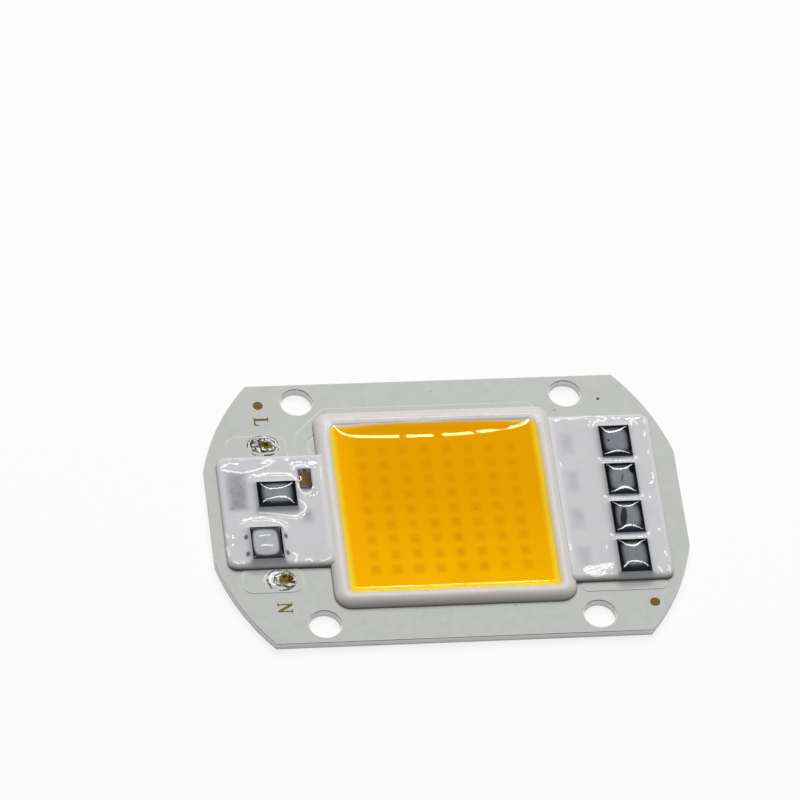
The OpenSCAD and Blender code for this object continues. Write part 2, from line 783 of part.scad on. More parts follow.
// Section of the dam's bead, with its middle line on the section's own Y axis
module bead_section() {
    intersection() {
        translate([0, bead_z]) circle(bead_r, $fn = bead_fn);
        translate([-bead_r, z_film]) square(2 * bead_r);
    }
}

// The bead laid as a closed round-cornered loop
module bead_loop() {
    straight_l = line_l - 2 * line_r;
    straight_w = line_w - 2 * line_r;
    translate([dam_x, 0, 0]) for (side = [0, 1]) {
        mirror([0, side, 0]) translate([-straight_l / 2, line_w / 2, 0])
            rotate([90, 0, 90]) linear_extrude(straight_l) bead_section();
        mirror([side, 0, 0]) translate([line_l / 2, straight_w / 2, 0])
            rotate([90, 0, 0]) linear_extrude(straight_w) bead_section();
        for (up = [0, 1]) mirror([side, 0, 0]) mirror([0, up, 0])
            translate([straight_l / 2, straight_w / 2, 0])
                rotate_extrude(angle = 90) intersection() {
                    translate([line_r, 0]) bead_section();
                    square(line_r + 2 * bead_r);
                }
    }
}

// The round form of the bead's four sides, run on past its corners and down into the board
module straight_beads() {
    long = line_l + 2 * bead_r;
    translate([dam_x, 0, bead_z]) for (side = [-1, 1]) {
        translate([0, side * line_w / 2, 0]) rotate([0, 90, 0])
            cylinder(r = bead_r, h = long, center = true, $fn = bead_fn);
        translate([side * line_l / 2, 0, 0]) rotate([90, 0, 0])
            cylinder(r = bead_r, h = long, center = true, $fn = bead_fn);
    }
}

module dam() {
    color([0.9, 0.89, 0.87]) difference() {
        bead_loop();
        film_blank();
        layer(z_film - eps, copper_t + eps) copper_areas(0);
    }
}

// The hollow over the gel: flat in the middle, with a round slope up to the bead on every side
module hollow_section(half) {
    low = rim_z - gel_sag;
    difference() {
        translate([-half, low]) square([2 * half, 2 * gel_sag]);
        for (side = [0, 1]) mirror([side, 0]) difference() {
            translate([half - gel_slope_w, low - gel_sag]) square([gel_slope_w + eps, 2 * gel_sag]);
            translate([half - gel_slope_w, low + gel_arc_r]) circle(gel_arc_r, $fn = shallow_fn);
        }
    }
}

module phosphor_gel() {
    color([0.95, 0.66, 0.05]) difference() {
        translate([dam_x - gel_box_l / 2, -gel_box_w / 2, z_film])
            cube([gel_box_l, gel_box_w, rim_z - z_film]);
        translate([dam_x, 0, 0]) intersection() {
            translate([0, line_w / 2, 0]) rotate([90, 0, 0])
                linear_extrude(line_w) hollow_section(gel_half_l);
            translate([-line_l / 2, 0, 0]) rotate([90, 0, 90])
                linear_extrude(line_l) hollow_section(gel_half_w);
        }
        straight_beads();
        for (column = [1 : columns]) die_column(column);
        layer(z_film - eps, copper_t + eps) copper_areas(0);
        bond_wires();
    }
}

// ---------- silicone pads ----------

// Half section of a pad that ends at x = reach_x: its top edge is round
module pad_section(inner_x, reach_x) {
    translate([inner_x, z_film]) square([reach_x - pad_edge_r - inner_x, pad_z - z_film]);
    translate([inner_x, z_film]) square([reach_x - inner_x, pad_z - pad_edge_r - z_film]);
    translate([reach_x - pad_edge_r, pad_z - pad_edge_r]) intersection() {
        circle(pad_edge_r);
        square(pad_edge_r);
    }
}

// A pad from x = 0 to x = l, with round corners at its far end in X
module pad_block(l, near, far) {
    straight = l - pad_corner_r;
    middle = (far + near) / 2;
    width = far - near;
    translate([0, middle, 0]) for (side = [0, 1]) mirror([0, side, 0]) {
        rotate([90, 0, 90]) linear_extrude(straight) pad_section(0, width / 2);
        translate([straight, width / 2 - pad_corner_r, 0])
            rotate_extrude(angle = 90) pad_section(0, pad_corner_r);
        translate([straight, width / 2 - pad_corner_r, 0]) rotate([90, 0, 0])
            linear_extrude(width / 2 - pad_corner_r) pad_section(0, pad_corner_r);
    }
}

// Silicone over a tall part: a thin crown on its top, and the slope that climbs its sides
module part_cover(part_w, part_l, top) {
    w = part_w + 2 * skin_t;
    l = part_l + 2 * skin_t;
    crown = film_t - skin_t / 2;
    crown_r = (w * w / 4 + l * l / 4 + crown * crown) / (2 * crown);
    intersection() {
        translate([0, 0, top + film_t - crown_r]) sphere(crown_r, $fn = shallow_fn);
        translate([-w / 2, -l / 2, z_film]) cube([w, l, top + film_t - z_film]);
    }
    for (side = [0, 1]) {
        mirror([side, 0, 0]) translate([w / 2, l / 2, 0]) rotate([90, 0, 0])
            linear_extrude(l) climb_section(top);
        mirror([0, side, 0]) translate([-w / 2, l / 2, 0]) rotate([90, 0, 90])
            linear_extrude(w) climb_section(top);
        for (up = [0, 1]) mirror([side, 0, 0]) mirror([0, up, 0])
            translate([w / 2, l / 2, 0]) rotate_extrude(angle = 90) climb_section(top);
    }
}

// Section of that slope: it leaves the part's top edge and runs out into the pad's face
module climb_section(top) {
    difference() {
        translate([0, z_film]) square([climb_r - sink, top - z_film]);
        translate([climb_r - sink, pad_z - sink + climb_r]) circle(climb_r, $fn = bead_fn);
    }
}

module so_cover() part_cover(so_w, so_l, so_top);

module driver_encapsulant() {
    inner = dam_right - under;
    color([0.86, 0.86, 0.89, 0.6]) difference() {
        union() {
            translate([inner, 0, 0])
                pad_block(driver_pad_end - inner, driver_pad_near, driver_pad_far);
            intersection() {
                for (i = [1 : drivers]) at_driver(i) so_cover();
                layer(z_film, 2 * so_top) round_box([inner, driver_pad_near],
                    [driver_pad_end, driver_pad_far], pad_corner_r);
            }
        }
        film_blank();
        bead_loop();
        layer(z_film - eps, copper_t + eps) all_lands(0);
        driver_side_solder();
        for (i = [1 : drivers]) {
            at_driver(i) so_body();
            at_driver(i) so_leads_all();
            at_sense(i) chip_bar(chip_l, chip_w, chip_h);
            at_sense(i) chip_caps(chip_l, chip_w, chip_h);
        }
    }
}

module input_encapsulant() {
    inner = dam_left + under;
    color([0.86, 0.86, 0.89, 0.6]) difference() {
        union() {
            translate([inner, 0, 0]) mirror([1, 0, 0])
                pad_block(inner - input_pad_end, -input_pad_near, input_pad_far);
            intersection() {
                union() {
                    at_regulator() so_cover();
                    at_rectifier()
                        part_cover(rectifier_w, rectifier_l, so_top);
                    at_capacitor() part_cover(chip_w, chip_l, z_seat + capacitor_h);
                }
                layer(z_film, 2 * so_top) round_box([input_pad_end, -input_pad_near],
                    [inner, input_pad_far], pad_corner_r);
            }
        }
        film_blank();
        bead_loop();
        layer(z_film - eps, copper_t + eps) all_lands(0);
        input_side_solder();
        at_regulator() {
            so_body();
            so_leads_all();
        }
        at_rectifier() {
            moulded_body(rectifier_w, rectifier_l);
            rectifier_leads_all();
        }
        at_capacitor() chip_bar(chip_l, chip_w, capacitor_h);
        at_capacitor() chip_caps(chip_l, chip_w, capacitor_h);
        at_fuse() chip_bar(fuse_l, fuse_w, fuse_h);
        at_fuse() chip_caps(fuse_l, fuse_w, fuse_h);
        at_bleed() chip_bar(bleed_l, bleed_w, chip_h);
        at_bleed() chip_caps(bleed_l, bleed_w, chip_h);
    }
}

base_plate();
insulation_layer();
line_copper();
fused_copper();
neutral_copper();
bus_copper();
feed_copper();
return_copper();
driver_copper();
component_lands();
solder_mask();
gold_marks();
line_solder();
neutral_solder();
component_solder();
die_column(1);  // die_column_1
die_column(2);  // die_column_2
die_column(3);  // die_column_3
die_column(4);  // die_column_4
die_column(5);  // die_column_5
die_column(6);  // die_column_6
die_column(7);  // die_column_7
die_column(8);  // die_column_8
bond_wires();
dam();
phosphor_gel();
driver_body(1);  // driver_body_1
driver_body(2);  // driver_body_2
driver_body(3);  // driver_body_3
driver_body(4);  // driver_body_4
driver_leads(1);  // driver_leads_1
driver_leads(2);  // driver_leads_2
driver_leads(3);  // driver_leads_3
driver_leads(4);  // driver_leads_4
regulator_body();
regulator_leads();
rectifier_body();
rectifier_leads();
capacitor_body();
capacitor_ends();
fuse_body();
fuse_ends();
bleed_body();
bleed_ends();
sense_bodies();
sense_ends();
input_encapsulant();
driver_encapsulant();
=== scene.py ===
"""The looks of a COB LED with its drivers: silicone, phosphor gel, white board and solder."""

import json
import math

import bpy
import numpy as np
from mathutils import Matrix, Vector


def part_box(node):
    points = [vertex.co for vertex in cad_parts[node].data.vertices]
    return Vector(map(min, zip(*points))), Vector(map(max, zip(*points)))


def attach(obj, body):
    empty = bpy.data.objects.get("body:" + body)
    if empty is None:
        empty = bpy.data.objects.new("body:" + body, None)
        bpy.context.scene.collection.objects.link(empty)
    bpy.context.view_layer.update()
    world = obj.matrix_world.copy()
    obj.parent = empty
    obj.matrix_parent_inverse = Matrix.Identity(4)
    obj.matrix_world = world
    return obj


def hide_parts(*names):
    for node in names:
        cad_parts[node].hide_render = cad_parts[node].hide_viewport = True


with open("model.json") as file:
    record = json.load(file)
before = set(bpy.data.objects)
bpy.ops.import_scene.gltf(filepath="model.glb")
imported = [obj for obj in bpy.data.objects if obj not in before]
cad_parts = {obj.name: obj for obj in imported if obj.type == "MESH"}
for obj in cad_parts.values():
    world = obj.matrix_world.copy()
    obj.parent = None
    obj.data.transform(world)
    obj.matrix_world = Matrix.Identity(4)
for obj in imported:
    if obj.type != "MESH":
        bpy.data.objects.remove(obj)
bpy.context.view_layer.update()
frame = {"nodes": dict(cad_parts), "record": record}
MM = 0.001

# ---------- camera ----------

CAMERA_PLACE = (-0.12642, -0.49209, 0.67349)
CAMERA_RIGHT = (0.98906, -0.11364, 0.09406)
CAMERA_UP = (0.03346, 0.79382, 0.60723)
CAMERA_BACK = (-0.14367, -0.59744, 0.78894)
SENSOR = 36
LENS = 302.08


def make_camera():
    data = bpy.data.cameras.new("camera")
    data.sensor_width = SENSOR
    data.lens = LENS
    camera = bpy.data.objects.new("camera", data)
    bpy.context.scene.collection.objects.link(camera)
    turn = Matrix((CAMERA_RIGHT, CAMERA_UP, CAMERA_BACK)).transposed()
    camera.matrix_world = Matrix.Translation(CAMERA_PLACE) @ turn.to_4x4()
    bpy.context.scene.camera = camera


make_camera()

# ---------- places from the frame, in mm ----------


def span(node):
    """The lowest and highest corner of a CAD node, in mm."""
    low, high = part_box(node)
    return np.array(low) / MM, np.array(high) / MM


def middle(node):
    low, high = span(node)
    return (low + high) / 2


def half_of(node):
    low, high = span(node)
    return (high - low) / 2


# What the nodes' boxes don't say: the counts, and sizes of one piece among several in a node
DRIVERS = 4
DRIVER_NODES = ["driver_body_%d" % i for i in range(1, DRIVERS + 1)]
COLUMNS = 8
ROWS = 9
BEAD_W = 2.65
DIE_W = 1.3
SENSE_L = 3.2
LEAD_PITCH = 2.54
# How far the gel's solid starts below the mask's top, and how far silicone and tin reach below it
GEL_SINK = 0.04
FLOW = 0.02

MASK_TOP = span("phosphor_gel")[0][2] + GEL_SINK
DAM_LOW, DAM_HIGH = span("dam")
DAM_MID = (DAM_LOW + DAM_HIGH) / 2
LINE_HALF = (DAM_HIGH - DAM_LOW)[:2] / 2 - BEAD_W / 2
GEL_TOP = span("phosphor_gel")[1][2]
BEAD_H = DAM_HIGH[2] - MASK_TOP
BEAD_R = (BEAD_W**2 / 4 + BEAD_H**2) / (2 * BEAD_H)
# Half size of the gel's surface, where it meets the dam's round bead
GEL_HALF = LINE_HALF - math.sqrt(BEAD_R**2 - (GEL_TOP - (DAM_HIGH[2] - BEAD_R)) ** 2)

# ---------- meshes ----------


def make_piece(name, verts, faces, material, smooth=True):
    """A mesh from points in mm, riding on the part's only body."""
    mesh = bpy.data.meshes.new(name)
    mesh.from_pydata((np.asarray(verts) * MM).tolist(), [], faces)
    mesh.update()
    if smooth:
        mesh.polygons.foreach_set("use_smooth", [True] * len(mesh.polygons))
    mesh.materials.append(material)
    piece = bpy.data.objects.new(name, mesh)
    bpy.context.scene.collection.objects.link(piece)
    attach(piece, "root")
    return piece


def grid_faces(rows, columns):
    """Quads over a grid of points that is stored row after row, facing up."""
    index = np.arange(rows * columns).reshape(rows, columns)
    corners = [index[:-1, :-1], index[:-1, 1:], index[1:, 1:], index[1:, :-1]]
    return np.stack(corners, -1).reshape(-1, 4).tolist()


def grid_rim(rows, columns):
    """The grid's outer points in order, anticlockwise from above."""
    index = np.arange(rows * columns).reshape(rows, columns)
    return [*index[0, :-1], *index[:-1, -1], *index[-1, :0:-1], *index[:0:-1, 0]]


def closed_sheet(x, y, z, floor_z):
    """Points and faces of a solid under the sheet z(x, y), down to a flat floor."""
    rows, columns = z.shape
    top = np.stack([x, y, z], -1).reshape(-1, 3)
    rim = grid_rim(rows, columns)
    foot = top[rim].copy()
    foot[:, 2] = floor_z
    base = len(top)
    count = len(rim)
    faces = grid_faces(rows, columns)
    for i in range(count):
        j = (i + 1) % count
        faces.append((rim[j], rim[i], base + i, base + j))
    faces.append(tuple(range(base + count - 1, base - 1, -1)))
    return np.vstack([top, foot]), faces


def edged_steps(low, high, step, soft_low, soft_high):
    """Places from low to high, bunched at each soft end so that its round edge is smooth."""
    bend = PAD_SOFT * (1 - np.cos(np.linspace(0, math.pi / 2, 9)))
    start = low + bend if soft_low else np.array([low])
    end = high - bend[::-1] if soft_high else np.array([high])
    count = max(2, round((end[0] - start[-1]) / step))
    return np.concatenate([start, np.linspace(start[-1], end[0], count + 1)[1:-1], end])


def waves(x, y, size, height, seed, count=9):
    """A smooth random swell of about that wavelength and height, in mm."""
    random = np.random.default_rng(seed)
    total = np.zeros(np.broadcast(x, y).shape)
    for _ in range(count):
        angle = random.uniform(0, 2 * math.pi)
        pace = 2 * math.pi / size * random.uniform(0.6, 1.6)
        phase = random.uniform(0, 2 * math.pi)
        total = total + np.sin(pace * (x * math.cos(angle) + y * math.sin(angle)) + phase)
    return height * total / math.sqrt(count)


def outside(x, y, mid, half):
    """Distance outside a rectangle, and negative within it."""
    over_x = np.abs(x - mid[0]) - half[0]
    over_y = np.abs(y - mid[1]) - half[1]
    beyond = np.hypot(np.maximum(over_x, 0), np.maximum(over_y, 0))
    return beyond + np.minimum(np.maximum(over_x, over_y), 0)


# ---------- node materials ----------


class Wire:
    """A value in a material's node tree, with arithmetic."""

    def __init__(self, paint, socket):
        self.paint, self.socket = paint, socket

    def op(self, name, *others):
        return self.paint.math(name, self, *others)

    def __add__(self, other):
        return self.op("ADD", other)

    def __sub__(self, other):
        return self.op("SUBTRACT", other)

    def __mul__(self, other):
        return self.op("MULTIPLY", other)

    def __truediv__(self, other):
        return self.op("DIVIDE", other)

    def __rsub__(self, other):
        return self.paint.math("SUBTRACT", other, self)

    def size(self):
        return self.op("ABSOLUTE")

    def most(self, other):
        return self.op("MAXIMUM", other)

    def least(self, other):
        return self.op("MINIMUM", other)

    def power(self, other):
        return self.op("POWER", other)

    def wrap(self, high, low):
        return self.op("WRAP", high, low)

    def ramp(self, start, end, low=0.0, high=1.0):
        """low up to start, high from end on, smooth between."""
        return self.paint.ramp(self, start, end, low, high)


class Paint:
    """One procedural material. Coordinates are the row frame's, in mm."""

    def __init__(self, name, **constants):
        self.material = bpy.data.materials.new(name)
        self.material.use_nodes = True
        self.tree = self.material.node_tree
        self.shader = self.tree.nodes["Principled BSDF"]
        for socket, value in constants.items():
            self.shader.inputs[socket.replace("_", " ")].default_value = value
        coordinates = self.tree.nodes.new("ShaderNodeTexCoord")
        scale = self.tree.nodes.new("ShaderNodeVectorMath")
        scale.operation = "SCALE"
        scale.inputs["Scale"].default_value = 1 / MM
        self.tree.links.new(coordinates.outputs["Object"], scale.inputs[0])
        self.place = scale.outputs[0]
        split = self.tree.nodes.new("ShaderNodeSeparateXYZ")
        self.tree.links.new(self.place, split.inputs[0])
        self.x, self.y, self.z = (Wire(self, out) for out in split.outputs)

    def feed(self, socket, value):
        if isinstance(value, Wire):
            self.tree.links.new(value.socket, socket)
        elif hasattr(value, "is_output"):
            self.tree.links.new(value, socket)
        elif isinstance(value, tuple) and len(value) == 3 and len(socket.default_value) == 4:
            socket.default_value = (*value, 1)
        else:
            socket.default_value = value

    def math(self, name, *values):
        node = self.tree.nodes.new("ShaderNodeMath")
        node.operation = name
        for socket, value in zip(node.inputs, values):
            self.feed(socket, value)
        return Wire(self, node.outputs[0])

    def ramp(self, value, start, end, low=0.0, high=1.0):
        node = self.tree.nodes.new("ShaderNodeMapRange")
        node.interpolation_type = "SMOOTHSTEP"
        for socket, v in zip(node.inputs[:5], (value, start, end, low, high)):
            self.feed(socket, v)
        return Wire(self, node.outputs[0])

    def vector(self, x, y, z):
        node = self.tree.nodes.new("ShaderNodeCombineXYZ")
        for socket, value in zip(node.inputs, (x, y, z)):
            self.feed(socket, value)
        return node.outputs[0]

    def noise(self, scale, detail=2.0, rough=0.5, at=None):
        """Noise from 0 to 1, about `scale` bumps to a millimetre."""
        node = self.tree.nodes.new("ShaderNodeTexNoise")
        self.tree.links.new(at or self.place, node.inputs["Vector"])
        node.inputs["Scale"].default_value = scale
        node.inputs["Detail"].default_value = detail
        node.inputs["Roughness"].default_value = rough
        return Wire(self, node.outputs[0])

    def cells(self, scale):
        """Distance to the nearest of scattered points, `scale` to a mm, and its random value."""
        node = self.tree.nodes.new("ShaderNodeTexVoronoi")
        self.tree.links.new(self.place, node.inputs["Vector"])
        node.inputs["Scale"].default_value = scale
        split = self.tree.nodes.new("ShaderNodeSeparateXYZ")
        self.tree.links.new(node.outputs["Color"], split.inputs[0])
        return Wire(self, node.outputs["Distance"]), Wire(self, split.outputs[0])

    def specks(self, scale, share, size):
        """1 in small scattered specks: in that share of the cells, and that size against a cell."""
        distance, lot = self.cells(scale)
        return distance.ramp(size, size * 0.4) * lot.ramp(share, share * 0.98)

    def mix(self, share, one, other):
        node = self.tree.nodes.new("ShaderNodeMix")
        node.data_type = "RGBA"
        self.feed(node.inputs["Factor"], share)
        self.feed(node.inputs["A"], one)
        self.feed(node.inputs["B"], other)
        return node.outputs["Result"]

    def box(self, mid, half, x=None, y=None):
        """Distance outside a rectangle, and negative within it."""
        over_x = ((x or self.x) - mid[0]).size() - half[0]
        over_y = ((y or self.y) - mid[1]).size() - half[1]
        beyond = (over_x.most(0).power(2) + over_y.most(0).power(2)).op("SQRT")
        return beyond + over_x.most(over_y).least(0)

    def spot(self, place, half, turn=0.0, soft=0.7):
        """1 in the middle of a soft oval patch, 0 outside it. Its half sizes are those before it turns."""
        across, along = math.cos(math.radians(turn)), math.sin(math.radians(turn))
        off_x, off_y = self.x - place[0], self.y - place[1]
        part_x = (off_x * across + off_y * along) / half[0]
        part_y = (off_y * across - off_x * along) / half[1]
        return (part_x.power(2) + part_y.power(2)).op("SQRT").ramp(1.0, 1.0 - soft)

    def line(self, points):
        """Distance in X and Y to a line through the points."""
        nearest = None
        for start, end in zip(points, points[1:]):
            mid = [(a + b) / 2 for a, b in zip(start, end)]
            length = math.hypot(end[0] - start[0], end[1] - start[1])
            unit_x, unit_y = (end[0] - start[0]) / length, (end[1] - start[1]) / length
            x, y = self.x - mid[0], self.y - mid[1]
            beyond = ((x * unit_x + y * unit_y).size() - length / 2).most(0.0)
            across = y * unit_x - x * unit_y
            away = (beyond * beyond + across * across).power(0.5)
            nearest = away if nearest is None else nearest.least(away)
        return nearest

    def turning(self, radius):
        """How much the surface turns within that radius: 0 where it is flat, 0.3 at a square edge."""
        bevel = self.tree.nodes.new("ShaderNodeBevel")
        bevel.samples = 8
        bevel.inputs["Radius"].default_value = radius * MM
        geometry = self.tree.nodes.new("ShaderNodeNewGeometry")
        both = self.tree.nodes.new("ShaderNodeVectorMath")
        both.operation = "DOT_PRODUCT"
        self.tree.links.new(bevel.outputs[0], both.inputs[0])
        self.tree.links.new(geometry.outputs["Normal"], both.inputs[1])
        return 1.0 - Wire(self, both.outputs["Value"])

    def color(self, value):
        self.feed(self.shader.inputs["Base Color"], value)

    def rough(self, value):
        self.feed(self.shader.inputs["Roughness"], value)

    def bump(self, height, depth, round_edge=0.0):
        """Raises the surface by height times depth, in mm, and rounds its sharp edges."""
        node = self.tree.nodes.new("ShaderNodeBump")
        node.inputs["Strength"].default_value = 1.0
        node.inputs["Distance"].default_value = depth * MM
        self.feed(node.inputs["Height"], height)
        if round_edge:
            bevel = self.tree.nodes.new("ShaderNodeBevel")
            bevel.samples = 6
            bevel.inputs["Radius"].default_value = round_edge * MM
            self.tree.links.new(bevel.outputs[0], node.inputs["Normal"])
        self.tree.links.new(node.outputs[0], self.shader.inputs["Normal"])


def srgb(red, green, blue):
    """A colour as it shows on screen, from 0 to 255, as the linear colour that a shader takes."""
    parts = np.array([red, green, blue]) / 255
    linear = np.where(parts <= 0.04045, parts / 12.92, ((parts + 0.055) / 1.055) ** 2.4)
    return tuple(float(c) for c in linear)


def shade(paint, colour, spread=0.06, scale=2.0):
    """The colour with slow light and dark patches."""
    dark = tuple(c * (1 - spread) for c in colour)
    light = tuple(min(1.0, c * (1 + spread)) for c in colour)
    return paint.mix(paint.noise(scale, 4.0), dark, light)


SPECK = srgb(110, 105, 98)
MASK_WHITE = srgb(186, 188, 184)
MASK_EDGE_HIGHLIGHT = srgb(232, 233, 230)


def mask_paint():
    """White solder mask, with a painted highlight where it turns over the copper's edges."""
    p = Paint("white_mask", IOR=1.5)
    base = shade(p, MASK_WHITE, 0.03, 0.25)
    # Painted highlight along the copper's edges under the mask
    base = p.mix(p.turning(0.14).ramp(0.005, 0.12) * 0.8, base, MASK_EDGE_HIGHLIGHT)
    base = p.mix(p.specks(0.45, 0.07, 0.11) * 0.55, base, SPECK)
    p.color(base)
    p.rough(p.noise(1.2, 3.0).ramp(0.2, 0.8, 0.32, 0.44))
    p.bump(p.noise(2.2, 3.0), 0.004, 0.06)
    return p.material


def metal_paint(name, colour, low, high, streak=1.0, lumps=0.01, metallic=1.0):
    """Metal between two roughnesses. A streak above 1 draws its grain out along X."""
    p = Paint(name, Metallic=metallic)
    p.color(shade(p, colour, 0.12, 3.0))
    along = p.vector(p.x, p.y * streak, p.z * streak)
    grain = p.noise(3.0, 5.0, 0.6, at=along)
    p.rough(grain.ramp(0.2, 0.8, low, high))
    p.bump(grain, lumps, 0.03)
    return p.material


def matt_paint(name, colour, low, high):
    """A fine-grained moulded or fired surface between two roughnesses."""
    p = Paint(name)
    grain = 8.0
    p.color(shade(p, colour, 0.15, grain / 4))
    p.rough(p.noise(grain, 3.0).ramp(0.2, 0.8, low, high))
    p.bump(p.noise(grain, 4.0), 0.01, 0.04)
    return p.material


GEL_MIDDLE = (0.85, 0.37, 0.0)
GEL_NEAR = (1.0, 0.485, 0.0)
GEL_CLOUD = (0.84, 0.37, 0.0)
GEL_FAR = (0.80, 0.335, 0.0)
GEL_LEFT = (1.0, 0.45, 0.0)
GEL_DIE = (0.72, 0.30, 0.0)
GEL_RIM = (0.93, 0.66, 0.02)
GEL_RIM_NEAR = (1.0, 0.74, 0.03)
GEL_EDGE = srgb(240, 217, 105)
GEL_OVER_SHADE = srgb(214, 208, 198)
GEL_BRIM_HIGHLIGHT = (1.0, 0.98, 0.1)
GEL_SPECK = (0.35, 0.15, 0.0)
# How far in from the gel's near edge the painted highlight along its brim lies
BRIM_HIGHLIGHT_IN = 0.72
# Dies are seen by way of the gel, so their shadows lie a little nearer and lower
DIE_SEEN = (0.1, 0.4)


def die_shadows(p):
    """Soft, uneven squares where dies show through the gel."""
    first, last = middle("die_column_1"), middle("die_column_%d" % COLUMNS)
    low, high = span("die_column_1")
    die_l = high[0] - low[0]
    half_x = (last[0] - first[0]) / (COLUMNS - 1) / 2
    half_y = (high[1] - low[1] - DIE_W) / (ROWS - 1) / 2
    wobble = (p.noise(0.8, 2.0) - 0.5) * 0.15
    x, y = p.x + DIE_SEEN[0], p.y + DIE_SEEN[1]
    cell_x = (x - first[0] + wobble).wrap(half_x, -half_x)
    cell_y = (y - first[1] + wobble).wrap(half_y, -half_y)
    field = p.box(DAM_MID[:2], (COLUMNS * half_x, ROWS * half_y), x, y).ramp(0.1, -0.1)
    square = p.box((0, 0), (die_l / 2 - 0.08, DIE_W / 2 - 0.1), cell_x, cell_y).ramp(0.5, -0.35)
    uneven = p.noise(0.55, 2.0).ramp(0.3, 0.7, 0.6, 1.0)
    return square * field * uneven * 0.7


def gel_paint():
    """Phosphor gel: deep orange at its far side, yellow where it thins out at its rim, with a painted
    highlight along its near brim and painted shade over its far edge.
    """
    p = Paint("phosphor_gel", Roughness=0.01, IOR=1.4, Specular_Tint=(1.0, 0.96, 0.5, 1.0))
    far = p.y.ramp(11.0, 13.0) * p.x.size().ramp(13.0, 7.0)
    base = p.mix(p.y.ramp(4.0, -11.5), GEL_MIDDLE, GEL_NEAR)
    base = p.mix(p.noise(0.15, 2.0).ramp(0.3, 0.7) * 0.3, base, GEL_CLOUD)
    base = p.mix(far * 0.8, base, GEL_FAR)
    base = p.mix(p.x.ramp(-9.0, -12.5) * 0.6, base, GEL_LEFT)
    base = p.mix(die_shadows(p), base, GEL_DIE)
    edge = p.box(DAM_MID[:2], GEL_HALF) + (p.noise(0.7, 2.0) - 0.5) * 0.25
    rim = p.mix(p.y.ramp(0.0, -12.0), GEL_RIM, GEL_RIM_NEAR)
    base = p.mix(edge.ramp(-0.95, -0.15) * (0.9 - far * 0.8), base, rim)
    base = p.mix(edge.ramp(-0.3, 0.15) * 0.75, base, GEL_EDGE)
    half_y = GEL_HALF[1]
    wander = (p.noise(0.5, 2.0) - 0.5) * 0.2
    bow = (p.x / 13.0).size().power(3) * 0.4
    # Painted shade: the dam's shaded greyish white, laid over the gel's far edge
    over = (p.y + bow + wander).ramp(half_y - 0.4, half_y + 0.2)
    base = p.mix(over, base, GEL_OVER_SHADE)
    # Painted highlight: a broken bright yellow line along the gel's near brim
    brim_highlight = (p.y + half_y - BRIM_HIGHLIGHT_IN + wander).size().ramp(0.17, 0.05)
    within = (p.x - DAM_MID[0]).size().ramp(12.9, 12.4)
    brim_highlight = brim_highlight * p.noise(0.6, 2.0).ramp(0.32, 0.42, 0.1, 1.0) * within
    base = p.mix(brim_highlight * 0.85, base, GEL_BRIM_HIGHLIGHT)
    base = p.mix(p.specks(0.3, 0.06, 0.06) * 0.6, base, GEL_SPECK)
    p.color(base)
    return p.material


DAM_WHITE = srgb(214, 210, 206)
DAM_FOOT_SHADE = srgb(66, 65, 61)
DAM_INNER_LIGHT = srgb(240, 236, 231)
DAM_YELLOW = srgb(240, 206, 70)
DAM_SHADE = srgb(96, 95, 90)
SHOULDER_HIGHLIGHT = (0.99, 0.99, 0.99)
# Painted highlight lines on the dam's far shoulder: how far out each lies, in mm, and its strength
SHOULDER_HIGHLIGHT_LINES = ((0.5, 1.0), (0.2, 0.85))


def dam_paint():
    """White silicone: painted shade at its foot and along its near side, painted light on its far inner
    flank, yellow by the gel, and painted highlight lines on its far shoulder.
    """
    p = Paint("dam_silicone", IOR=1.42)
    base = shade(p, DAM_WHITE, 0.03, 0.3)
    # Painted shade, darkening the dam towards its foot
    foot = p.z.ramp(MASK_TOP + 0.5, MASK_TOP - 0.1)
    base = p.mix(foot * 0.9, base, DAM_FOOT_SHADE)
    inward = p.box(DAM_MID[:2], GEL_HALF) + (p.noise(0.7, 2.0) - 0.5) * 0.25
    # Painted light on the far inner flank, which lies in shade
    base = p.mix(inward.ramp(0.9, 0.3) * p.y.ramp(12.0, 13.0) * 0.8, base, DAM_INNER_LIGHT)
    yellow = inward.ramp(0.55, 0.0) * p.y.ramp(12.9, 12.3)
    base = p.mix(yellow * 0.85, base, DAM_YELLOW)
    near_y = DAM_LOW[1]
    base = p.mix(p.y.ramp(near_y + 1.9, near_y + 0.2) * 0.27, base, DAM_SHADE)
    corner_r = 0.7
    shoulder = p.box(DAM_MID[:2], GEL_HALF - corner_r) - corner_r
    # Painted highlights along the far shoulder
    for off, strength in SHOULDER_HIGHLIGHT_LINES:
        highlight_line = (shoulder - off).size().ramp(0.12, 0.04) * p.noise(1.3, 2.0).ramp(0.3, 0.5, 0.3, 1.0)
        base = p.mix(highlight_line * p.y.ramp(11.0, 12.8) * strength, base, SHOULDER_HIGHLIGHT)
    base = p.mix(p.specks(0.35, 0.05, 0.09) * 0.5, base, srgb(120, 112, 100))
    p.color(base)
    p.rough(p.noise(0.5, 2.0).ramp(0.2, 0.8, 0.22, 0.32))
    p.bump(p.noise(0.9, 2.0), 0.012)
    return p.material


MILKY = srgb(207, 206, 208)
SMOKE = srgb(138, 139, 146)
PAD_FOOT_SHADE = srgb(52, 52, 54)
DEEP = srgb(14, 15, 18)
HAZE = srgb(130, 134, 139)
REGULATOR_HAZE = srgb(140, 145, 150)
RECTIFIER_HAZE = srgb(170, 171, 175)
BLOT = srgb(40, 42, 46)
LEAF = srgb(28, 30, 34)
NEAR_BAND = srgb(34, 41, 52)
HALO_SHADE = srgb(105, 108, 116)
UNDER_SHADOW = srgb(62, 63, 68)
LEAD = srgb(60, 62, 68)
GLINT = (0.99, 0.99, 1.0)
PAD_RIM_LIGHT = srgb(230, 230, 232)
PAD_SPECK = srgb(120, 112, 105)
PAD_ROUGH = 0.04


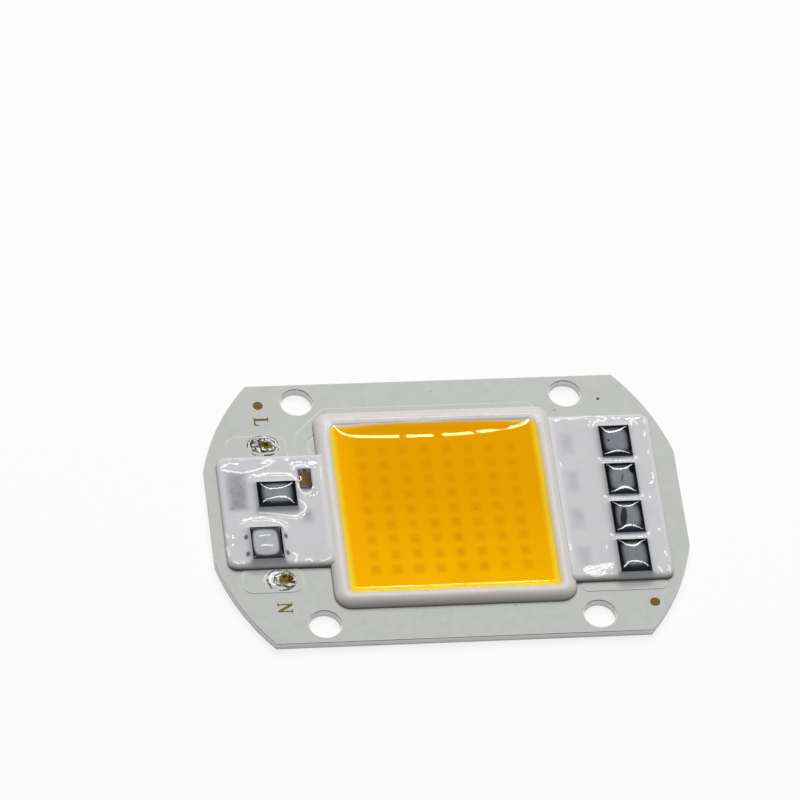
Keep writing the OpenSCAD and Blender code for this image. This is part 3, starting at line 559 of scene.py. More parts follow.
def show_through(p, base, mid, half, strength):
    """A part that lies deep in milky silicone: a smoky patch without edges."""
    soft = 0.9
    patch = p.box(mid, (half[0] - soft / 3, half[1] - soft / 3)).ramp(soft, -soft / 2)
    ragged = p.noise(0.6, 3.0).ramp(0.25, 0.75, 0.6, 1.0)
    return p.mix(patch * ragged * strength, base, SMOKE)


def crowned_part(p, base, node, haze=HAZE, rim=0.95, shift=(0, 0), band_from=-0.58):
    """A black package close under clear silicone, hazier where the film over it is thicker.

    The haze is full where the film reaches rim, and shift moves its middle. A dark band lies along the near
    side, from band_from on. shift and band_from are in half sizes.
    """
    mid, half = middle(node), half_of(node)
    edge = p.box(mid, half)
    off_x = (p.x - mid[0]) / half[0]
    off_y = (p.y - mid[1]) / half[1]
    film_x = 1.0 - (off_x - shift[0]).size().power(3)
    film_y = 1.0 - (off_y - shift[1]).size().power(3)
    film = (film_x * film_y).most(0)
    clouds = p.noise(0.8, 3.0).ramp(0.2, 0.8, 0.85, 1.1)
    tone = p.mix(film.ramp(0.33, rim) * clouds, DEEP, haze)
    band = off_y.ramp(band_from, band_from - 0.14)
    tone = p.mix(band * 0.7, tone, NEAR_BAND)
    # Painted shade in the silicone around the part
    halo_shade = edge.ramp(0.5, 0.0)
    base = p.mix(halo_shade * 0.22, base, HALO_SHADE)
    # Painted shadow close around the part, reaching a little further on its near side
    under = p.box((mid[0], mid[1] - 0.15), (half[0] - 0.3, half[1] - 0.1)).ramp(0.7, -0.1)
    base = p.mix(under * 0.18, base, UNDER_SHADOW)
    return p.mix(edge.ramp(0.06, -0.04), base, tone)


def blot(p, base, mid, offset, half, turn=0.0, strength=0.9, colour=BLOT):
    """A dark oval stain in the film, at an offset from a part's middle."""
    place = (mid[0] + offset[0], mid[1] + offset[1])
    return p.mix(p.spot(place, half, turn, 0.35) * strength, base, colour)


def pad_start(name, node):
    """Milky silicone: a painted light along its rim, and painted shade at its foot and along its near side.
    """
    p = Paint(name, Roughness=PAD_ROUGH, IOR=1.42)
    base = shade(p, MILKY, 0.06, 0.4)
    near_y = span(node)[0][1]
    height = p.z - MASK_TOP
    # Painted light along the pad's rim, save at its near side
    rim = p.box(middle(node), half_of(node)).ramp(-0.9, -0.25) * p.y.ramp(near_y + 1.0, near_y + 3.0)
    base = p.mix(rim * 0.5, base, PAD_RIM_LIGHT)
    near = p.y.ramp(near_y + 1.0, near_y + 0.1)
    # Painted shade at the pad's foot, deepest along its near side
    base = p.mix(height.ramp(0.4, 0.0) * 0.55, base, PAD_FOOT_SHADE)
    base = p.mix(height.ramp(0.72, 0.05) * near * 0.95, base, PAD_FOOT_SHADE)
    base = p.mix(p.specks(0.4, 0.05, 0.09) * 0.5, base, PAD_SPECK)
    p.bump(p.noise(0.7, 2.0), 0.002)
    return p, base


def lead_spots(p, base, node, strength, y_places, x_reach):
    """Leads that show through the silicone as dark blurs beside their package."""
    mid, half = middle(node), half_of(node)
    for side in (-1, 1):
        for y in y_places:
            spot = p.spot((mid[0] + side * (half[0] - x_reach), y), (0.36, 0.55))
            base = p.mix(spot * strength, base, LEAD)
    return base


def sense_places():
    """Middle and half size of each current-sense resistor."""
    mid, half = middle("sense_bodies"), half_of("sense_bodies")
    reach = half[1] - SENSE_L / 2
    steps = np.linspace(mid[1] - reach, mid[1] + reach, DRIVERS)
    return [((mid[0], y), (half[0], SENSE_L / 2)) for y in steps]


# Painted highlight lines on the silicone, each also raised as a low wrinkle: points along each in the row
# frame, and half its width, all in mm
DRIVER_WRINKLES_AND_GLINTS = [
    ([(19.95, 11.12), (20.25, 11.82), (20.85, 12.07), (21.55, 11.92), (21.80, 12.37), (21.25, 12.77),
      (20.65, 12.72)], 0.12),
    ([(24.90, 11.12), (24.95, 11.82), (25.15, 12.22), (26.10, 12.27)], 0.13),
    ([(26.70, 11.42), (26.75, 12.22)], 0.08),
    ([(26.55, 10.02), (26.40, 9.42)], 0.12),
    ([(26.55, 7.07), (26.55, 6.62)], 0.1),
    ([(26.55, 3.62), (26.70, 3.02)], 0.1),
    ([(26.20, 2.07), (26.50, 2.37)], 0.09),
    ([(26.25, -5.18), (26.27, -5.38)], 0.13),
    ([(26.55, -8.68), (26.65, -9.33)], 0.1),
    ([(25.45, -11.08), (25.75, -11.83)], 0.12),
    ([(26.70, -10.88), (26.80, -11.83)], 0.09),
    ([(14.55, -7.13), (14.80, -7.43), (14.60, -7.93)], 0.12),
    ([(14.95, 12.47), (16.25, 12.62), (18.15, 12.62), (19.95, 13.02)], 0.08),
    ([(15.05, 5.72), (15.20, 5.02)], 0.1),
]
INPUT_WRINKLES_AND_GLINTS = [
    ([(-27.95, 6.37), (-26.75, 6.12), (-25.45, 5.82), (-24.15, 6.02), (-22.95, 6.42), (-22.10, 6.77),
      (-21.50, 7.27)], 0.13),
    ([(-27.55, 7.02), (-26.75, 7.42), (-25.95, 7.12)], 0.1),
    ([(-23.80, 5.17), (-22.65, 5.47), (-21.50, 5.62), (-20.20, 5.52), (-19.30, 5.22), (-18.85, 4.62),
      (-18.75, 4.12)], 0.12),
    ([(-18.65, 3.52), (-18.55, 2.92), (-18.15, 2.27), (-17.45, 2.17), (-16.90, 2.57),
      (-16.65, 3.12)], 0.12),
    ([(-18.95, 5.97), (-18.75, 6.47), (-18.00, 6.77), (-17.25, 6.67), (-16.95, 6.22)], 0.13),
    ([(-18.60, 1.12), (-18.05, 0.77), (-17.85, 0.12), (-18.15, -0.48), (-19.00, -1.08),
      (-19.30, -1.23)], 0.13),
    ([(-23.85, -0.58), (-22.65, -0.68), (-21.50, -0.88), (-20.35, -1.08), (-19.30, -1.23)], 0.1),
    ([(-25.90, -1.68), (-25.05, -1.38), (-23.55, -1.28), (-22.40, -1.53), (-21.50, -2.13),
      (-20.95, -2.78), (-20.75, -3.38)], 0.1),
    ([(-20.20, -6.83), (-19.70, -7.18), (-19.90, -7.68), (-20.05, -8.13)], 0.13),
    ([(-18.75, -7.98), (-18.30, -7.83), (-18.00, -8.13)], 0.14),
    ([(-16.95, -8.23), (-16.25, -8.08), (-15.65, -7.78)], 0.09),
    ([(-28.25, -3.43), (-28.10, -4.03)], 0.12),
    ([(-28.40, -5.33), (-28.25, -5.98), (-28.20, -6.78)], 0.12),
    ([(-27.80, -7.78), (-27.25, -8.08)], 0.1),
    ([(-26.70, -8.08), (-26.45, -8.08)], 0.09),
    ([(-16.65, 7.02), (-15.85, 6.87)], 0.12),
    ([(-15.40, 6.12), (-15.50, 4.42)], 0.07),
    ([(-22.75, 7.30), (-21.80, 7.55), (-21.05, 7.45)], 0.14),
    ([(-24.25, -4.66), (-23.60, -4.56), (-22.95, -4.54)], 0.08),
    ([(-24.15, -6.12), (-23.50, -6.10), (-22.85, -6.20)], 0.1),
    ([(-28.00, 6.75), (-27.50, 7.15)], 0.12),
]
WRINKLE_H = 0.012
VALLEY_GLINT_HALF = 0.16


def valley_glint_points(low, high):
    """Points of the painted highlight between two drivers, a thin line which curls up beside them."""
    reach, x, y = half_of("driver_body_1")[0], low[0], (low[1] + high[1]) / 2 + 0.2
    half = [(reach + 0.5, 0.5), (reach + 0.3, 0.2), (reach - 0.1, 0.06), (0.0, 0.0)]
    return [(x - dx, y + dy) for dx, dy in half] + [(x + dx, y + dy) for dx, dy in half[-2::-1]]


def painted_glints(p, base, wrinkles):
    """Painted highlights: broken white lines along the crests of the wrinkles."""
    broken = p.noise(3.0, 1.0).ramp(0.3, 0.42, 0.5, 1.0)
    for points, half in wrinkles:
        crest = p.line(points).ramp(half + 0.05, half - 0.05) * broken
        base = p.mix(crest, base, GLINT)
    return base


def crazed_patch_glints(p, base):
    """Painted highlights: white streaks over the patch of fine crooked wrinkles by the near end of the driver
    pad.
    """
    at = p.vector(p.x * 0.5 + p.y * 0.4, p.y * 1.6 - p.x * 0.3, 0.0)
    patch = p.spot((18.0, -10.75), (2.15, 0.5), 12, 0.3)
    patch = patch.most(p.spot((16.7, -11.1), (1.0, 0.8), 0, 0.3))
    patch = patch.most(p.spot((17.6, -11.75), (1.2, 0.45), 3, 0.3))
    glint_streaks = p.noise(1.9, 3.0, 0.75, at).ramp(0.4, 0.47)
    return p.mix(patch.ramp(0.1, 0.5) * glint_streaks, base, GLINT)


def driver_pad_paint():
    p, base = pad_start("driver_silicone", "driver_encapsulant")
    for mid, half in sense_places():
        base = show_through(p, base, mid, half, 0.35)
    for node in DRIVER_NODES:
        base = crowned_part(p, base, node)
    one, two, three, four = sorted((middle(node) for node in DRIVER_NODES), key=lambda mid: -mid[1])
    base = blot(p, base, one, (-0.95, 0.0), (0.16, 0.26), 20)
    base = blot(p, base, two, (1.5, 1.25), (0.5, 0.7), 0, 1.0, DEEP)
    base = blot(p, base, two, (1.4, 1.85), (0.45, 0.45), 30, 1.0, DEEP)
    base = blot(p, base, two, (0.05, 0.0), (0.16, 0.85), -14, 0.6)
    base = blot(p, base, three, (-0.6, -0.2), (0.52, 2.0), -9, 0.92, LEAF)
    base = blot(p, base, four, (0.25, 0.6), (0.2, 0.5), -20, 0.2)
    neighbours = ((two, one), (three, two), (four, three))
    valley_glints = [(valley_glint_points(low, high), VALLEY_GLINT_HALF) for low, high in neighbours]
    base = painted_glints(p, base, DRIVER_WRINKLES_AND_GLINTS + valley_glints)
    p.color(crazed_patch_glints(p, base))
    return p.material


def capacitor_under_film(p, base):
    """The brown capacitor with its dark tinned ends, close under the silicone."""
    mid, half = middle("capacitor_ends"), half_of("capacitor_ends")
    edge = p.box(mid, (half[0] - 0.06, half[1] - 0.06))
    along = (p.y - mid[1]).size()
    brown = p.mix((p.x - mid[0]).ramp(-0.5, 0.5), srgb(116, 98, 66), srgb(92, 76, 48))
    brown = p.mix(p.noise(1.5, 3.0) * 0.4, brown, srgb(70, 58, 38))
    ends = p.mix(p.noise(1.8, 3.0).ramp(0.3, 0.7), srgb(58, 58, 60), srgb(112, 114, 118))
    tone = p.mix(along.ramp(0.88, 1.05), brown, ends)
    # Painted shade in the silicone around the capacitor
    base = p.mix(edge.ramp(0.4, 0.0) * 0.5, base, srgb(100, 102, 108))
    tone = p.mix(edge.ramp(-0.22, 0.0) * 0.8, tone, srgb(38, 38, 42))
    return p.mix(edge.ramp(0.1, -0.02), base, tone)


def input_pad_paint():
    p, base = pad_start("input_silicone", "input_encapsulant")
    fuse = middle("fuse_body")
    base = show_through(p, base, fuse, half_of("fuse_body"), 0.9)
    base = show_through(p, base, middle("bleed_body"), half_of("bleed_body"), 0.7)
    base = blot(p, base, fuse, (1.1, 1.2), (0.05, 0.45), -6, 0.6)
    base = blot(p, base, fuse, (0.95, 0.2), (0.04, 0.3), 4, 0.5)
    base = blot(p, base, fuse, (-0.9, -2.7), (0.28, 0.1), -10, 0.5)
    mid = middle("rectifier_body")
    lead_ys = (mid[1] - LEAD_PITCH / 2, mid[1] + LEAD_PITCH / 2)
    base = lead_spots(p, base, "rectifier_leads", 0.85, lead_ys, 0.6)
    base = crowned_part(p, base, "rectifier_body", RECTIFIER_HAZE, 0.66, (-0.1, 0.0), -0.8)
    dust = p.box(mid, half_of("rectifier_body")).ramp(-0.12, -0.3)
    p.rough(dust * 0.3 + PAD_ROUGH)
    base = crowned_part(p, base, "regulator_body", REGULATOR_HAZE, 1.0)
    base = capacitor_under_film(p, base)
    p.color(painted_glints(p, base, INPUT_WRINKLES_AND_GLINTS))
    return p.material


SOLDER_RIM_HIGHLIGHT = (0.97, 0.97, 0.97)
SOLDER_WHITE = (0.97, 0.97, 0.96)
SOLDER_GREY = srgb(150, 147, 139)
SOLDER_DARK = srgb(58, 54, 48)
SOLDER_GOLD = srgb(214, 196, 128)
SOLDER_PALE = srgb(240, 238, 228)
FLUX_FILM = srgb(188, 160, 78)
FLUX = srgb(134, 104, 44)
FLUX_DARK = srgb(70, 50, 14)


def solder_paint(name, node, shift, bright_side):
    """Tinned solder: a painted highlight along its rim, a broken dark ring, and flux dried brown in its
    middle.

    bright_side is 1 or -1 where the solder has a golden tail on its other side in X, and 0 for an even rim.
    """
    p = Paint(name, Metallic=0.2, IOR=1.5)
    mid, half = middle(node), half_of(node)
    mid = mid[:2] + np.array(shift)
    warp = (p.noise(1.0, 2.0) - 0.5) * 0.6 + (p.noise(3.0, 2.0) - 0.5) * 0.3
    edge = p.box(mid, (half[0] - half[1], 0.0)) - half[1] + warp
    toward = ((p.x - mid[0]) * bright_side).ramp(-0.9, 1.5)
    inner = edge + toward * 0.4 + 0.22
    lumps = p.noise(2.2, 2.0)
    base = p.mix(lumps.ramp(0.42, 0.5), SOLDER_GREY, SOLDER_WHITE)
    base = p.mix(p.noise(2.9, 1.0).ramp(0.56, 0.6), base, SOLDER_DARK)
    rim = inner.ramp(-0.04, 0.04)
    tail = p.mix(p.noise(2.0, 1.0).ramp(0.4, 0.6), SOLDER_GOLD, SOLDER_PALE)
    # Painted highlight: a white crescent along the rim on the bright side, golden flux on the tail side
    base = p.mix(rim, base, p.mix(toward.ramp(0.15, 0.4), tail, SOLDER_RIM_HIGHLIGHT))
    gold = toward.ramp(0.3, 0.1) * inner.ramp(-0.35, -0.05)
    base = p.mix(gold * 0.75, base, FLUX_FILM)
    ring = (inner + 0.08).size().ramp(0.12, 0.05) * p.noise(1.3, 1.0).ramp(0.34, 0.46)
    base = p.mix(ring * 0.9, base, SOLDER_DARK)
    outline = (edge - toward * 0.1).size().ramp(0.14, 0.05) * p.noise(1.0, 1.0).ramp(0.4, 0.5)
    base = p.mix(outline * 0.95, base, SOLDER_DARK)
    core = p.box((mid[0] + 0.3, mid[1]), (half[0] * 0.4, half[1] * 0.34)) + warp * 1.3
    brown = p.mix(p.noise(2.4, 2.0).ramp(0.4, 0.6), FLUX_DARK, FLUX)
    base = p.mix(core.ramp(0.2, 0.0), base, brown)
    p.color(base)
    p.rough(lumps.ramp(0.3, 0.7, 0.1, 0.3))
    p.bump(p.noise(2.2, 3.0, 0.5) * (1.0 - rim * 0.85), 0.2)
    return p.material


# ---------- pieces ----------


def rings(offsets, corner_rs):
    """Round-cornered loops about the dam's middle line, one for each offset from it."""
    side_steps, corner_steps = 70, 14
    loops = []
    for offset, r in zip(offsets, corner_rs):
        half = LINE_HALF + offset
        points = []
        for quarter in range(4):
            sign_x = (1, -1, -1, 1)[quarter]
            sign_y = (1, 1, -1, -1)[quarter]
            turn = np.linspace(0, math.pi / 2, corner_steps) + quarter * math.pi / 2
            centre = np.array([sign_x * (half[0] - r), sign_y * (half[1] - r)])
            arc = centre + r * np.stack([np.cos(turn), np.sin(turn)], -1)
            points.append(arc)
        loop = []
        for quarter in range(4):
            arc, following = points[quarter], points[(quarter + 1) % 4]
            side = np.linspace(arc[-1], following[0], side_steps)[1:-1]
            loop += [arc, side]
        loops.append(np.vstack(loop))
    return np.array(loops)


DAM_CORNER_R = 0.85
DAM_LEAST_R = 0.75


def make_dam():
    """A round bead of silicone that wavers a little along its crest."""
    steps = 30
    turn = np.linspace(-1, 1, steps)
    reach = math.asin(BEAD_W / 2 / BEAD_R)
    offsets = BEAD_R * np.sin(turn * reach)
    levels = DAM_HIGH[2] - BEAD_R + BEAD_R * np.cos(turn * reach)
    loops = rings(offsets, np.maximum(DAM_CORNER_R + offsets, DAM_LEAST_R))
    x, y = loops[..., 0] + DAM_MID[0], loops[..., 1]
    crest = (1 - turn**2)[:, None]
    crest_x, crest_y = x[steps // 2], y[steps // 2]
    x, y = (x + waves(crest_x, crest_y, 9, 0.04, 3) * crest,
            y + waves(crest_x, crest_y, 9, 0.04, 4) * crest)
    z = levels[:, None] + (waves(x, y, 7, 0.012, 5) - 0.015) * crest
    count = x.shape[1]
    faces = []
    for ring in range(steps):
        after = (ring + 1) % steps
        for i in range(count):
            j = (i + 1) % count
            here, there = ring * count, after * count
            faces.append((here + j, here + i, there + i, there + j))
    piece = make_piece("dam", np.stack([x, y, z], -1).reshape(-1, 3), faces, dam_paint())
    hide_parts("dam")


GEL_SAG = 0.39
GEL_STEPS = 240
# How far the gel runs on into the dam's flank, as a share of its half size
GEL_UNDER = 1.02
# How far the gel's climb to its rim reaches: wide at the far side, tight at the near side
GEL_CLIMB = {"far": 1.75, "near": 0.3, "side": 0.8}


def gel_height(x, y):
    """The gel's surface sags in its middle and climbs to its rim on all four sides."""
    side = np.maximum(GEL_HALF[0] - np.abs(x - DAM_MID[0]), 0)
    low = 1 - np.exp(-side / GEL_CLIMB["side"])
    across = (x - DAM_MID[0]) / GEL_HALF[0]
    bow = np.where(across < 0, 0.5 * np.abs(across) ** 3, 1.3 * np.abs(across) ** 1.9)
    far = GEL_HALF[1] - y + bow
    low = low * (1 - np.exp(-np.maximum(far, 0) / GEL_CLIMB["far"]))
    low = low * (1 - np.exp(-np.maximum(GEL_HALF[1] + y, 0) / GEL_CLIMB["near"]))
    return GEL_TOP - GEL_SAG * low


def make_gel():
    reach = GEL_HALF * GEL_UNDER
    xs = DAM_MID[0] + np.linspace(-reach[0], reach[0], GEL_STEPS)
    ys = np.linspace(-reach[1], reach[1], GEL_STEPS)
    x, y = np.meshgrid(xs, ys)
    z = gel_height(x, y)
    verts, faces = closed_sheet(x, y, z, span("phosphor_gel")[0][2])
    piece = make_piece("gel", verts, faces, gel_paint())
    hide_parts("phosphor_gel")


# How far out from a part the silicone climbs to it, and how much further beyond its far and near sides
CLIMB = 0.4
CLIMB_FAR = 0.3
CLIMB_NEAR = 0.18
PAD_LEVEL = MASK_TOP + 0.8
PAD_R = 1.3
PAD_SOFT = 0.75
PAD_STEP = 0.085
# How far the pads lap over the dam's outer flank, and how they climb to it
LAP = 0.55
LAP_H = 0.16
LAP_W = 0.4


class Crown:
    """A part close under the silicone, and the domed film over it.

    film is the dome's height in mm, and bend the power with which it falls in Y. shift is its top's place and
    arc how far its flat middle widens towards its sides, in half sizes. lift is how far it clears the part.
    """

    def __init__(self, node, film, bend=2.4, shift=0.1, arc=0.5, lift=0.0):
        self.mid, self.half = middle(node)[:2], half_of(node)[:2]
        self.top = span(node)[1][2] + lift
        self.film, self.bend, self.shift, self.arc = film, bend, shift, arc

    def slope(self, x, y, tallest):
        """How high the silicone stands beside the part: a full share at the part, 0 far from it."""
        away = np.maximum(outside(x, y, self.mid, self.half), 0)
        side = np.clip((y - self.mid[1]) / self.half[1], -1, 1)
        reach = CLIMB * (1.0 + np.where(side > 0, CLIMB_FAR, CLIMB_NEAR) * side)
        return np.exp(-away / reach) * (self.top - PAD_LEVEL) / (tallest - PAD_LEVEL)

    def dome(self, x, y):
        u = np.clip((x - self.mid[0]) / self.half[0], -1, 1)
        v = np.clip((y - self.mid[1]) / self.half[1], -1, 1)
        drawn = self.arc * np.where(v > 0, 1.25 * np.abs(u) ** 2.6, 1.3 * np.abs(u) ** 2.3)
        fall = np.maximum(np.abs(v - self.shift) - drawn, 0)
        return self.film * (1 - np.abs(u) ** 7) * (1 - np.abs(v) ** 24) * (1 - fall**self.bend)


def crowns(x, y, parts):
    """Pad height with a crown over each part and a slope that climbs to it."""
    tallest = max(part.top for part in parts)
    low = np.ones_like(x)
    for part in parts:
        low = low * (1 - part.slope(x, y, tallest))
    z = PAD_LEVEL + (tallest - PAD_LEVEL) * (1 - low)
    for part in parts:
        z = z + part.dome(x, y)
    return z


def fold(x, y, points, width):
    """A low ridge along a line of points, as a skin that wrinkled while it set."""
    away = np.full(x.shape, 99.0)
    for start, end in zip(points, points[1:]):
        start, end = np.array(start, float), np.array(end, float)
        step = end - start
        along = np.clip(((x - start[0]) * step[0] + (y - start[1]) * step[1]) / step.dot(step), 0, 1)
        off_x, off_y = x - start[0] - along * step[0], y - start[1] - along * step[1]
        away = np.minimum(away, np.hypot(off_x, off_y))
    return WRINKLE_H * np.exp(-((away / width) ** 2))


def crazing(x, y, seed):
    """Relief of the patch of fine crooked wrinkles by the near end of the driver pad."""
    mid, half, turn, pitch, height = (17.9, -11.1), (2.3, 0.85), 14, 0.42, 0.02
    along, across = math.cos(math.radians(turn)), math.sin(math.radians(turn))
    part_x = (x - mid[0]) * along + (y - mid[1]) * across
    part_y = (y - mid[1]) * along - (x - mid[0]) * across
    inside = np.clip(1.6 - 1.6 * np.hypot(part_x / half[0], part_y / half[1]), 0, 1)
    turns = part_y / pitch + waves(part_x, part_y, 1.6, 0.6, seed)
    return inside * height * np.sin(2 * math.pi * turns)


def round_corners(x, y, low, high, r, sides):
    """Draws the corners of a grid of points in to a round outline, at the sides in X that are named."""
    x, y = x.copy(), y.copy()
    for side in sides:
        edge_x = low[0] if side < 0 else high[0]
        for end in (-1, 1):
            edge_y = low[1] if end < 0 else high[1]
            a = side * (x - edge_x) + r
            b = end * (y - edge_y) + r
            corner = (a > 0) & (b > 0)
            pull = np.where(corner, np.maximum(a, b) / np.maximum(np.hypot(a, b), 1e-9), 1)
            x = np.where(corner, edge_x + side * (a * pull - r), x)
            y = np.where(corner, edge_y + end * (b * pull - r), y)
    return x, y


def rim_distance(x, y, low, high, open_side):
    """Distance in from a pad's round-cornered outline. The pad runs on at its open side."""
    run_on = 10
    low, high = np.array(low[:2], float), np.array(high[:2], float)
    if open_side < 0:
        low[0] -= run_on
    else:
        high[0] += run_on
    mid, half = (low + high) / 2, (high - low) / 2
    return PAD_R - outside(x, y, mid, half - PAD_R)


def pad_sheet(node, open_side, parts, wrinkles, seed, crazed=False):
    """A pad of silicone with round rims. At its open side, -1 or 1 in X, it runs on under the dam."""
    low, high = span(node)
    xs = edged_steps(low[0], high[0], PAD_STEP, open_side > 0, open_side < 0)
    ys = edged_steps(low[1], high[1], PAD_STEP, True, True)
    x, y = np.meshgrid(xs, ys)
    x, y = round_corners(x, y, low, high, PAD_R, [-open_side])
    z = crowns(x, y, parts)
    flank = DAM_HIGH[0] - LAP if open_side < 0 else DAM_LOW[0] + LAP
    near_dam = np.maximum((x - flank) * -open_side, 0)
    z = z + LAP_H * np.exp(-near_dam / LAP_W)
    inward = rim_distance(x, y, low, high, open_side)
    far_rim = np.clip((y - low[1] - 0.5) / 1.5, 0.3, 1)
    by_rim = np.exp(-(((inward - 0.9) / 0.5) ** 2))
    z = z + waves(x, y, 5, 0.014, seed) + waves(x, y, 1.6, 0.011, seed + 1) * by_rim * far_rim
    for points, half in wrinkles:
        z = z + fold(x, y, points, half + 0.1)
    if crazed:
        z = z + crazing(x, y, seed + 5)
    inward = np.clip(inward / PAD_SOFT, 0, 1)
    z = MASK_TOP + (z - MASK_TOP) * np.sqrt(1 - (1 - inward) ** 2)
    return closed_sheet(x, y, np.maximum(z, MASK_TOP - FLOW), MASK_TOP - 2 * FLOW)


def make_driver_pad():
    parts = [Crown(node, 0.152, shift=-0.06) for node in DRIVER_NODES]
    verts, faces = pad_sheet("driver_encapsulant", -1, parts, DRIVER_WRINKLES_AND_GLINTS, 21, crazed=True)
    piece = make_piece("driver_pad", verts, faces, driver_pad_paint())
    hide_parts("driver_encapsulant")


def make_input_pad():
    parts = [Crown("regulator_body", 0.2, bend=2.0, shift=0.0, arc=0.6),
             Crown("rectifier_body", 0.13, bend=2.0, shift=0.0, arc=0.1),
             Crown("capacitor_ends", 0.02, lift=0.03)]
    verts, faces = pad_sheet("input_encapsulant", 1, parts, INPUT_WRINKLES_AND_GLINTS, 31)
    piece = make_piece("input_pad", verts, faces, input_pad_paint())
    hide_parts("input_encapsulant")


# How far the tin spreads past its solid
TIN_OVER = 0.1


def make_tinned_pad(name, node, seed, shift, bright_side):
    """A lumpy drop of tin on a terminal's land, higher in a ring near its rim."""
    low, high = span(node)
    low[:2] -= TIN_OVER
    high[:2] += TIN_OVER
    mid, half = (low + high) / 2, (high - low) / 2
    r = half[1]
    xs = np.linspace(low[0], high[0], 100)
    ys = np.linspace(low[1], high[1], 76)
    x, y = np.meshgrid(xs, ys)
    x, y = round_corners(x, y, low, high, r, [-1, 1])
    inward = np.clip((r - outside(x, y, mid, (half[0] - r, 0))) / r, 0, 1)
    crown = np.sqrt(1 - (1 - inward) ** 2.5)
    ring = np.exp(-(((inward - 0.4) / 0.25) ** 2))
    lumps = waves(x, y, 1.3, 0.06, seed) + waves(x, y, 0.6, 0.02, seed + 1)
    rise = high[2] - low[2]
    share = crown * (0.5 + 0.4 * ring) + lumps * inward / rise * 1.5
    z = low[2] + rise * np.clip(share, 0, 1)
    verts, faces = closed_sheet(x, y, z, low[2] - FLOW)
    piece = make_piece(name, verts, faces, solder_paint(name, node, shift, bright_side))
    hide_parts(node)


# ---------- printed marks ----------

# Outlines of the two terminal letters, in parts of the letter's height: across, up
LETTER_L = [(0.0, 0.0), (0.74, 0.0), (0.78, 0.3), (0.7, 0.3), (0.62, 0.1), (0.32, 0.1), (0.32, 0.92),
            (0.44, 0.94), (0.44, 1.0), (0.0, 1.0), (0.0, 0.94), (0.13, 0.92), (0.13, 0.08), (0.0, 0.06)]
LETTER_N = [(0.0, 0.0), (0.34, 0.0), (0.34, 0.06), (0.22, 0.08), (0.22, 0.74), (0.7, 0.0), (0.84, 0.0),
            (0.84, 0.92), (0.95, 0.94), (0.95, 1.0), (0.62, 1.0), (0.62, 0.94), (0.74, 0.92), (0.74, 0.3),
            (0.28, 1.0), (0.0, 1.0), (0.0, 0.94), (0.12, 0.92), (0.12, 0.08), (0.0, 0.06)]
LETTER_H = 1.85
LETTER_W = 0.92
LETTER_T = 0.012
PRINT = srgb(112, 89, 20)
PRINT_WORN = srgb(170, 160, 130)


def make_letter(name, outline, foot_x, left_y):
    """A flat printed letter with its foot at foot_x and its left side at left_y. Its top points to +X."""
    count = len(outline)
    low = [(foot_x + v * LETTER_H, left_y - u * LETTER_H * LETTER_W, MASK_TOP - FLOW)
           for u, v in outline]
    high = [(x, y, MASK_TOP + LETTER_T) for x, y, _ in low]
    faces = [tuple(range(count, 2 * count)), tuple(range(count - 1, -1, -1))]
    for i in range(count):
        j = (i + 1) % count
        faces.append((i, j, count + j, count + i))
    piece = make_piece(name, low + high, faces, print_paint(), smooth=False)


def print_paint():
    p = Paint("printed_gold")
    base = shade(p, PRINT, 0.2, 2.0)
    p.color(p.mix(p.noise(5.0, 3.0).ramp(0.6, 0.75) * 0.5, base, PRINT_WORN))
    p.rough(p.noise(3.0, 2.0).ramp(0.2, 0.8, 0.5, 0.65))
    p.bump(p.noise(6.0, 2.0), 0.004)
    return p.material


# ---------- light and floor ----------


def area_lamp(name, place, aim, size_x, size_y, radiance, across=(1, 0, 0)):
    """A softbox that shines with that radiance. Its X side lies along `across`."""
    data = bpy.data.lights.new(name, "AREA")
    data.shape = "RECTANGLE"
    data.size, data.size_y = size_x, size_y
    data.energy = radiance * math.pi * size_x * size_y
    lamp = bpy.data.objects.new(name, data)
    bpy.context.scene.collection.objects.link(lamp)
    back = (Vector(place) - Vector(aim)).normalized()
    side = Vector(across)
    side = (side - back * side.dot(back)).normalized()
    up = back.cross(side)
    lamp.matrix_world = Matrix.Translation(place) @ Matrix((side, up, back)).transposed().to_4x4()
    lamp.visible_camera = False
    return lamp


def mirrored(point, tilt):
    """Where the camera sees by way of a surface at point, in mm, that leans tilt degrees towards it."""
    seen = (Vector(point) * MM - Vector(CAMERA_PLACE)).normalized()
    lean = math.radians(tilt)
    normal = Vector((0, -math.sin(lean), math.cos(lean)))
    return seen - 2 * seen.dot(normal) * normal


# World strength on the part and in mirror images
AMBIENT = 0.31
ROOM = 0.05
SOFTBOX_PLACE = (0.1, 0.6, 0.85)
SOFTBOX_SIZE = 0.8
SOFTBOX_RADIANCE = 3.95
# The tubes' distance from the part, in m, and their radiance
TUBE_FAR = 0.9
TUBE_RADIANCE = 30
# Where the far row's tubes begin and end along the gel, in mm, as they are mirrored there
TUBES_FAR = [(-80, -5.5), (-4.3, -0.4), (1.8, 8.6), (9.8, 13.3), (15.0, 80)]


def tube_lamp(name, start, end, y, tilt, wide):
    """A tube, wide m across, mirrored on the gel from start to end in X at y, where it leans tilt degrees."""
    ends = []
    for x in (start, end):
        point = (x, y, GEL_TOP)
        ends.append(Vector(point) * MM + mirrored(point, tilt) * TUBE_FAR)
    place, along = (ends[0] + ends[1]) / 2, ends[1] - ends[0]
    area_lamp(name, place, (0, y * MM, GEL_TOP * MM), along.length, wide, TUBE_RADIANCE, along)


